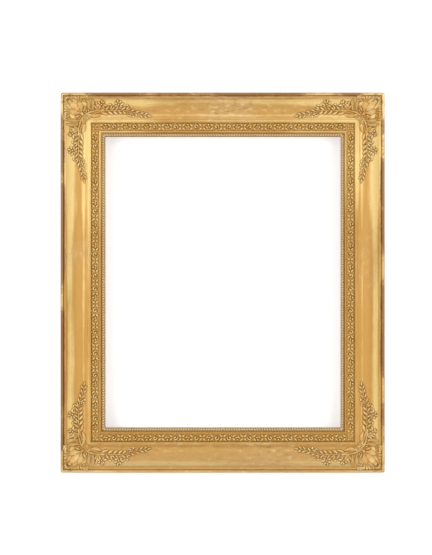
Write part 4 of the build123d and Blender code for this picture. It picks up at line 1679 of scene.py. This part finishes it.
@dataclass
class Slip(Run):
    """The twisted ribbon at the sight edge."""

    low: float = 0.0
    high: float = SECTION.slip_w
    floor: float = SECTION.v_seat
    slot: str = "gilt_slip"
    pitch: float = 5.2
    height: float = 3.5

    def turn(self, pitch: float) -> tuple[Relief, Array]:
        """Draws one turn of the ribbon.

        Args:
            pitch: Its length.

        Returns:
            A slanted swelling that narrows to its ends, and how high each point is.
        """
        rows, cols = np.linspace(-1, 1, 9)[:, None], np.linspace(0, 1, 9)
        top = np.empty((len(rows), len(cols), 3))
        swell = np.sin(np.pi * cols) ** 0.5
        arch = np.sqrt(np.clip(1 - 0.82 * rows**2, 0, 1))
        top[..., 0] = pitch * (cols + 0.28 * rows)
        top[..., 1] = self.half * rows
        top[..., 2] = self.height * arch * (0.5 + 0.5 * swell)
        top[:, (0, -1), 2] = 0.0
        top[(0, -1), :, 2] = 0.0
        art = Relief()
        art.patch(top, (False, False))
        return art, np.clip(0.15 + 0.85 * swell * arch, 0, 1).reshape(-1)

    def build(self, finish: Material) -> None:
        """Builds the four ribbons.

        Args:
            finish: Their material.
        """
        grow = repeat_tree("ribbon_run")
        for side in Side:
            node = "slip_" + side.value
            span = Rail(side).half + self.middle
            count = round(span / self.pitch)
            pitch = span / count
            art, rise = self.turn(pitch)
            # Painted highlight on each turn's swell and painted shade in its hollows, with a painted shadow
            # along the sight edge, strongest on the top.
            shadow = smoothstep(-0.45, -0.95, art.all_points()[:, 1] / self.middle)
            dark = (1.0 if side is Side.TOP else 0.5) * shadow
            values = {"tone": 0.2 + 0.7 * rise, "wear": 0.3 * rise**3,
                      "recess": np.maximum(0.5 - 0.5 * np.clip(rise * 1.2, 0, 1), dark)}
            piece = self.repeated(grow, node + "_ribbon", art, values, count, pitch, finish)
            self.settle(piece, side, finish, node)


@dataclass
class BackFrame:
    """The lapped boards behind the mouldings, shown as the CAD has them."""

    def dress(self, finishes: Finishes) -> None:
        """Gives the boards their grain.

        Args:
            finishes: The finishes.
        """
        for name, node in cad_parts.items():
            if name.startswith("back_"):
                node.data.materials.clear()
                node.data.materials.append(finishes.rail_pine if "rail" in name else finishes.stile_pine)


def screw_tree() -> Growth:
    """A tree that sets one screw on every point of a mesh, each turned its own way about the Y axis.

    Returns:
        The tree, with inputs for the places, the screw, the seed and the finish.
    """
    grow = Growth("screw_set")
    points, screw = grow.shape("Places"), grow.shape("Screw")
    angle = grow.node("FunctionNodeRandomValue", {"data_type": "FLOAT"},
                      {"Max": math.pi, "Seed": grow.add_input("Seed", "Int")})
    number = next(s for s in angle.outputs if s.enabled)
    euler = grow.number("ShaderNodeCombineXYZ", {}, {"Y": number})
    turn = grow.number("FunctionNodeEulerToRotation", {}, {"Euler": euler})
    put = grow.node("GeometryNodeInstanceOnPoints", {},
                    {"Points": points, "Instance": screw, "Rotation": turn})
    grow.close(put.outputs[0])
    return grow


@dataclass
class Hardware:
    """Straps, rings, buttons and screws on the back; sizes in millimetres."""

    metal: float = 1.2
    edge: float = 0.3
    strap_half: float = 7.0
    strap_end: float = 3.0
    eye_r: float = 2.66
    ring_r: float = 1.38
    ring_half: float = 12.0
    ring_bend: float = 3.0
    ring_drop: float = 10.0
    screw_drops: Row = (13.0, 35.0)
    button_r: float = 5.0
    button_hole: float = 1.8
    head_r: float = 3.5
    head_h: float = 1.75
    head_gap: float = 0.1
    slot_half: float = 0.45
    slot_depth: float = 0.8
    shank_r: float = 1.6
    shank_l: float = 14.5
    shank_in: float = 0.3
    tip_r: float = 0.2
    tip_l: float = 3.0
    seed: int = 7

    def build(self, finishes: Finishes) -> None:
        """Builds every piece of metalwork in its place.

        Args:
            finishes: The finishes.
        """
        screws, pivots = [], []
        for hand in ("left", "right"):
            low, high = (np.array(c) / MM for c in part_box("hanger_strap_" + hand))
            axis = np.array(((low[0] + high[0]) / 2, high[1] - self.eye_r, high[2] - self.eye_r))
            piece = self.strap("strap_" + hand, axis, axis[2] - low[2])
            dress(piece, finishes.brass, "frame", "brass", "hanger_strap_" + hand)
            piece = self.ring("ring_" + hand + "_wire", axis)
            dress(piece, finishes.brass, "ring_" + hand, "brass", "hanger_ring_" + hand)
            screws += [(axis[0], self.metal, axis[2] - drop) for drop in self.screw_drops]
        for side in Side:
            low, high = (np.array(c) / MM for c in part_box("turn_button_" + side.value))
            piece = self.button("button_" + side.value + "_plate", low, high, side.level)
            dress(piece, finishes.brass, "button_" + side.value, "brass", "turn_button_" + side.value)
            pivots.append((low[0] + self.button_r, high[1] + self.head_gap, low[2] + self.button_r))
        grow = screw_tree()
        for name, places in (("hanger_screws", screws), ("turn_button_screws", pivots)):
            self.screws(grow, name, np.array(places), finishes.steel)

    def strap(self, name: str, axis: Array, reach: float) -> Piece:
        """A strap of sheet metal, rounded below and rolled to an eye above.

        Args:
            name: The piece's name.
            axis: Middle of the eye.
            reach: Length from there to the lower end.

        Returns:
            The piece.
        """
        t, e, end = self.metal / 2, self.edge, self.strap_end
        radius = self.eye_r - t
        below = end * (1 - np.cos(np.linspace(0, np.pi / 2, 7)))
        down = np.concatenate((reach - below, np.linspace(reach - 6, 4, 6), (2.5, 1.2)))
        wound = np.radians(np.arange(180, -121, -12.0))
        flat = np.interp(down, (0, 4), (axis[1] - radius, t))
        y = np.concatenate((flat, axis[1] + radius * np.cos(wound)))
        z = np.concatenate((axis[2] - down, axis[2] + radius * np.sin(wound)))
        run_y, run_z = np.gradient(y), np.gradient(z)
        size = np.hypot(run_y, run_z)
        from_end = np.clip(reach - (axis[2] - z), 0, end)
        half = self.strap_half - end + np.sqrt(end**2 - (end - from_end) ** 2)
        half = np.where(np.arange(len(y)) < len(below), half, self.strap_half)
        outline = ((-1, 0, e - t), (-1, e, -t), (1, -e, -t), (1, 0, e - t),
                   (1, 0, t - e), (1, -e, t), (-1, e, t), (-1, 0, t - e))
        loops = np.empty((len(y), len(outline), 3))
        for k, (sign, inset, off) in enumerate(outline):
            loops[:, k, 0] = axis[0] + sign * half + inset
            loops[:, k, 1] = y - run_z / size * off
            loops[:, k, 2] = z + run_y / size * off
        return lofted(name, loops * MM, False, SMOOTH_METAL, {})

    def ring(self, name: str, axis: Array) -> Piece:
        """A D-ring of round wire, hanging from its eye's middle.

        Args:
            name: The piece's name.
            axis: Middle of the eye.

        Returns:
            The piece.
        """
        knee = self.ring_half - self.ring_bend
        bend = np.linspace(90, 180, 7)
        path = [(x, 0.0) for x in np.linspace(knee, -knee, 7)[:-1]]
        for turns, x, z, r in ((bend, -knee, -self.ring_bend, self.ring_bend),
                               (np.linspace(180, 360, 25), 0.0, -self.ring_drop, self.ring_half),
                               (bend - 90, knee, -self.ring_bend, self.ring_bend)):
            path += [(x + r * math.cos(a), z + r * math.sin(a)) for a in np.radians(turns)]
        path = np.array(path[:-1])
        heading = np.roll(path, -1, 0) - np.roll(path, 1, 0)
        heading /= np.linalg.norm(heading, axis=1)[:, None]
        turn = np.linspace(0, 2 * np.pi, 14, endpoint=False)
        loops = np.empty((len(path), len(turn), 3))
        loops[..., 0] = axis[0] + path[:, :1] - self.ring_r * heading[:, 1:] * np.cos(turn)
        loops[..., 1] = axis[1] + self.ring_r * np.sin(turn)
        loops[..., 2] = axis[2] + path[:, 1:] + self.ring_r * heading[:, :1] * np.cos(turn)
        return lofted(name, loops * MM, True, SMOOTH_RELIEF, {})

    def button(self, name: str, low: Array, high: Array, level: bool) -> Piece:
        """A flat button with round ends and a hole.

        Args:
            name: The piece's name.
            low, high: Corners of the CAD button.
            level: True where it lies along X, and false where it lies along Z.

        Returns:
            The piece.
        """
        r, e = self.button_r, self.edge
        far = (high[0] - low[0] if level else high[2] - low[2]) - 2 * r
        ends = np.radians(np.linspace(90, 270, 17))
        across = np.linspace(0, far, 7)[1:-1]
        near = np.stack((r * np.cos(ends), r * np.sin(ends)), 1)
        rim = np.concatenate((near, np.stack((across, np.full(5, -r)), 1), (far, 0) - near,
                              np.stack((across[::-1], np.full(5, r)), 1)))
        size = np.linalg.norm(rim, axis=1)[:, None]
        hole, inner = rim / size * self.button_hole, rim * (1 - e / size)
        y0, y1 = low[1], high[1]
        section = ((hole, y0), (hole, y1), (inner, y1), (rim, y1 - e), (rim, y0 + e), (inner, y0))
        loops = np.empty((len(rim), len(section), 3))
        for k, (flat, y) in enumerate(section):
            loops[:, k, 0] = low[0] + r + flat[:, 0 if level else 1]
            loops[:, k, 1] = y
            loops[:, k, 2] = low[2] + r + flat[:, 1 if level else 0]
        return lofted(name, loops * MM, True, SMOOTH_METAL, {})

    def head(self) -> Relief:
        """Draws one screw.

        Returns:
            A round head with a slot, and its shank.
        """
        art = Relief()
        out = self.head_r * np.sin(np.linspace(np.pi / 2, math.asin(self.slot_half / self.head_r), 7))
        x = np.concatenate((-out, (-self.slot_half, self.slot_half), out[::-1]))
        cut = np.zeros(len(x))
        cut[len(out):len(out) + 2] = self.slot_depth
        s = np.linspace(-1, 1, 11)
        top = np.empty((len(x), len(s), 3))
        top[..., 0] = x[:, None]
        top[..., 1] = np.sqrt(self.head_r**2 - x**2)[:, None] * np.sin(s * np.pi / 2)
        share = np.clip(1 - (top[..., 0] ** 2 + top[..., 1] ** 2) / self.head_r**2, 0, 1)
        top[..., 2] = np.clip(self.head_h * share**0.45 - cut[:, None], 0, None)
        art.patch(top, (True, True))
        turn = np.linspace(0, 2 * np.pi, 10, endpoint=False)
        rows = ((-self.shank_l, self.tip_r), (self.tip_l - self.shank_l, self.shank_r),
                (self.shank_in, self.shank_r))
        shank = [[(r * math.cos(a), r * math.sin(a), h) for a in turn] for h, r in rows]
        art.patch(np.array(shank), (False, False))
        return art

    def screws(self, grow: Growth, name: str, places: Array, finish: Material) -> None:
        """Builds one set of screws, each with its slot its own way.

        Args:
            grow: The tree that sets them.
            name: Their CAD node.
            places: Middles of their heads.
            finish: Their material.
        """
        art = self.head()
        screw = plain_object(name + "_shape", art.all_points()[:, (0, 2, 1)] * MM, art.faces, {})
        spots = plain_object(name + "_places", places * MM, [], {})
        piece = grow.run(name + "_slotted", {
            "Places": spots, "Screw": screw, "Seed": self.seed, "Finish": finish})
        dress(finish_mesh(piece, SMOOTH_METAL), finish, "frame", "steel", name)


@dataclass
class Studio:
    """Floor, wall, lights and camera; the picture's sizes are in pixels, and a pixel's in millimetres."""

    picture: tuple[int, int] = (432, 555)
    centre: tuple[float, float] = (222.55, 282.7)
    pixel: float = 2.0285
    distance: float = 2.5
    raise_by: float = 0.07
    aside: float = 0.06
    floor_z: float = -1.15
    floor_half: float = 6.0
    wall_y: float = 0.012
    wall_half: tuple[float, float] = (2.0, 1.15)
    white: Colour = (0.86, 0.86, 0.86)
    glow: float = 0.45
    world: float = 0.55
    lamp: float = 17.5
    lamp_size: tuple[float, float] = (1.1, 1.5)
    lamp_at: tuple[float, float, float] = (1.35, -2.0, 0.3)

    def build(self) -> None:
        """Builds the studio round the frame."""
        bpy.context.scene.view_settings.view_transform = "Standard"
        self.sky()
        r, z = self.floor_half, self.floor_z
        self.plane("floor", ((-r, -r, z), (r, -r, z), (r, r, z), (-r, r, z)), self.pale("pale_floor", False))
        (x, z), y = self.wall_half, self.wall_y
        self.plane("wall", ((-x, y, -z), (x, y, -z), (x, y, z), (-x, y, z)), self.pale("pale_wall", True))
        for hand in (-1, 1):
            self.softbox(hand)
        self.camera()

    def sky(self) -> None:
        """Even light all round, white where the camera sees it."""
        world = bpy.data.worlds.new("studio")
        bpy.context.scene.world = world
        world.use_nodes = True
        tree = Tree(world.node_tree)
        sockets = tree.tree.nodes["Background"].inputs
        tree.feed(sockets["Color"], (1, 1, 1))
        tree.feed(sockets["Strength"], tree.number("ShaderNodeMapRange", {}, {
            "Value": tree.direct_rays(), "To Min": self.world}))

    def pale(self, name: str, one_sided: bool) -> Material:
        """A white surface that the camera sees as bright as the background, but for shadows.

        Args:
            name: The material's name.
            one_sided: True where it is not seen from behind and keeps no light off what is there.

        Returns:
            The material.
        """
        sh = Shader(name)
        direct = sh.direct_rays()
        sh.set(Base_Color=self.white, Roughness=0.9)
        sh.set(Emission_Color=(1, 1, 1), Emission_Strength=direct * self.glow)
        if one_sided:
            behind = sh.number("ShaderNodeNewGeometry", {}, {}, "Backfacing")
            clear = sh.node("ShaderNodeBsdfTransparent", {}, {}).outputs[0]
            mixed = sh.node("ShaderNodeMixShader", {}, {
                0: (1 - behind) * direct, 1: clear, 2: sh.surface.outputs[0]})
            sh.feed(sh.tree.nodes["Material Output"].inputs["Surface"], mixed.outputs[0])
        return sh.material

    def plane(self, name: str, corners: Sequence[Row], finish: Material) -> None:
        """A flat stage surface.

        Args:
            name: Its name.
            corners: Its four corners in metres.
            finish: Its material.
        """
        made = plain_object(name, np.array(corners), [(0, 1, 2, 3)], {})
        made.data.materials.append(finish)
        bpy.context.scene.collection.objects.link(made)

    def softbox(self, hand: int) -> None:
        """A large soft lamp on one side.

        Args:
            hand: -1 for the left and 1 for the right.
        """
        data = bpy.data.lights.new("softbox", "AREA")
        data.shape, data.energy = "RECTANGLE", self.lamp
        data.size, data.size_y = self.lamp_size
        made = bpy.data.objects.new("softbox", data)
        made.location = (hand * self.lamp_at[0], *self.lamp_at[1:])
        made.rotation_euler = (Vector((0, 0, 0)) - made.location).to_track_quat("-Z", "Y").to_euler()
        bpy.context.scene.collection.objects.link(made)

    def camera(self) -> None:
        """The camera of the photograph: level and nearly square on."""
        data = bpy.data.cameras.new("camera")
        wide, high = self.picture
        tall = high * self.pixel * MM
        data.sensor_width = 36.0
        data.lens = self.distance / tall * data.sensor_width
        off_x, off_y = (self.centre[0] - wide / 2) / high, (self.centre[1] - high / 2) / high
        data.shift_x = -off_x - self.aside / tall
        data.shift_y = off_y - self.raise_by / tall
        made = bpy.data.objects.new("camera", data)
        made.location = (self.aside, -SECTION.v_lip * MM - self.distance, self.raise_by)
        made.rotation_euler = (math.pi / 2, 0, 0)
        bpy.context.scene.collection.objects.link(made)
        bpy.context.scene.camera = made


def main() -> None:
    """Builds the frame's pieces in order."""
    logging.basicConfig(level=logging.INFO, format="%(message)s")
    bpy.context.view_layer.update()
    finishes = Finishes()
    castings = Castings()
    castings.build(finishes.ornament)
    cove = Cove()
    for side in Side:
        cove.build(side, castings, finishes.cove)
    Frieze().build(finishes.frieze)
    Slip().build(finishes.slip)
    BackFrame().dress(finishes)
    Hardware().build(finishes)
    Studio().build()


if __name__ == "__main__":
    main()
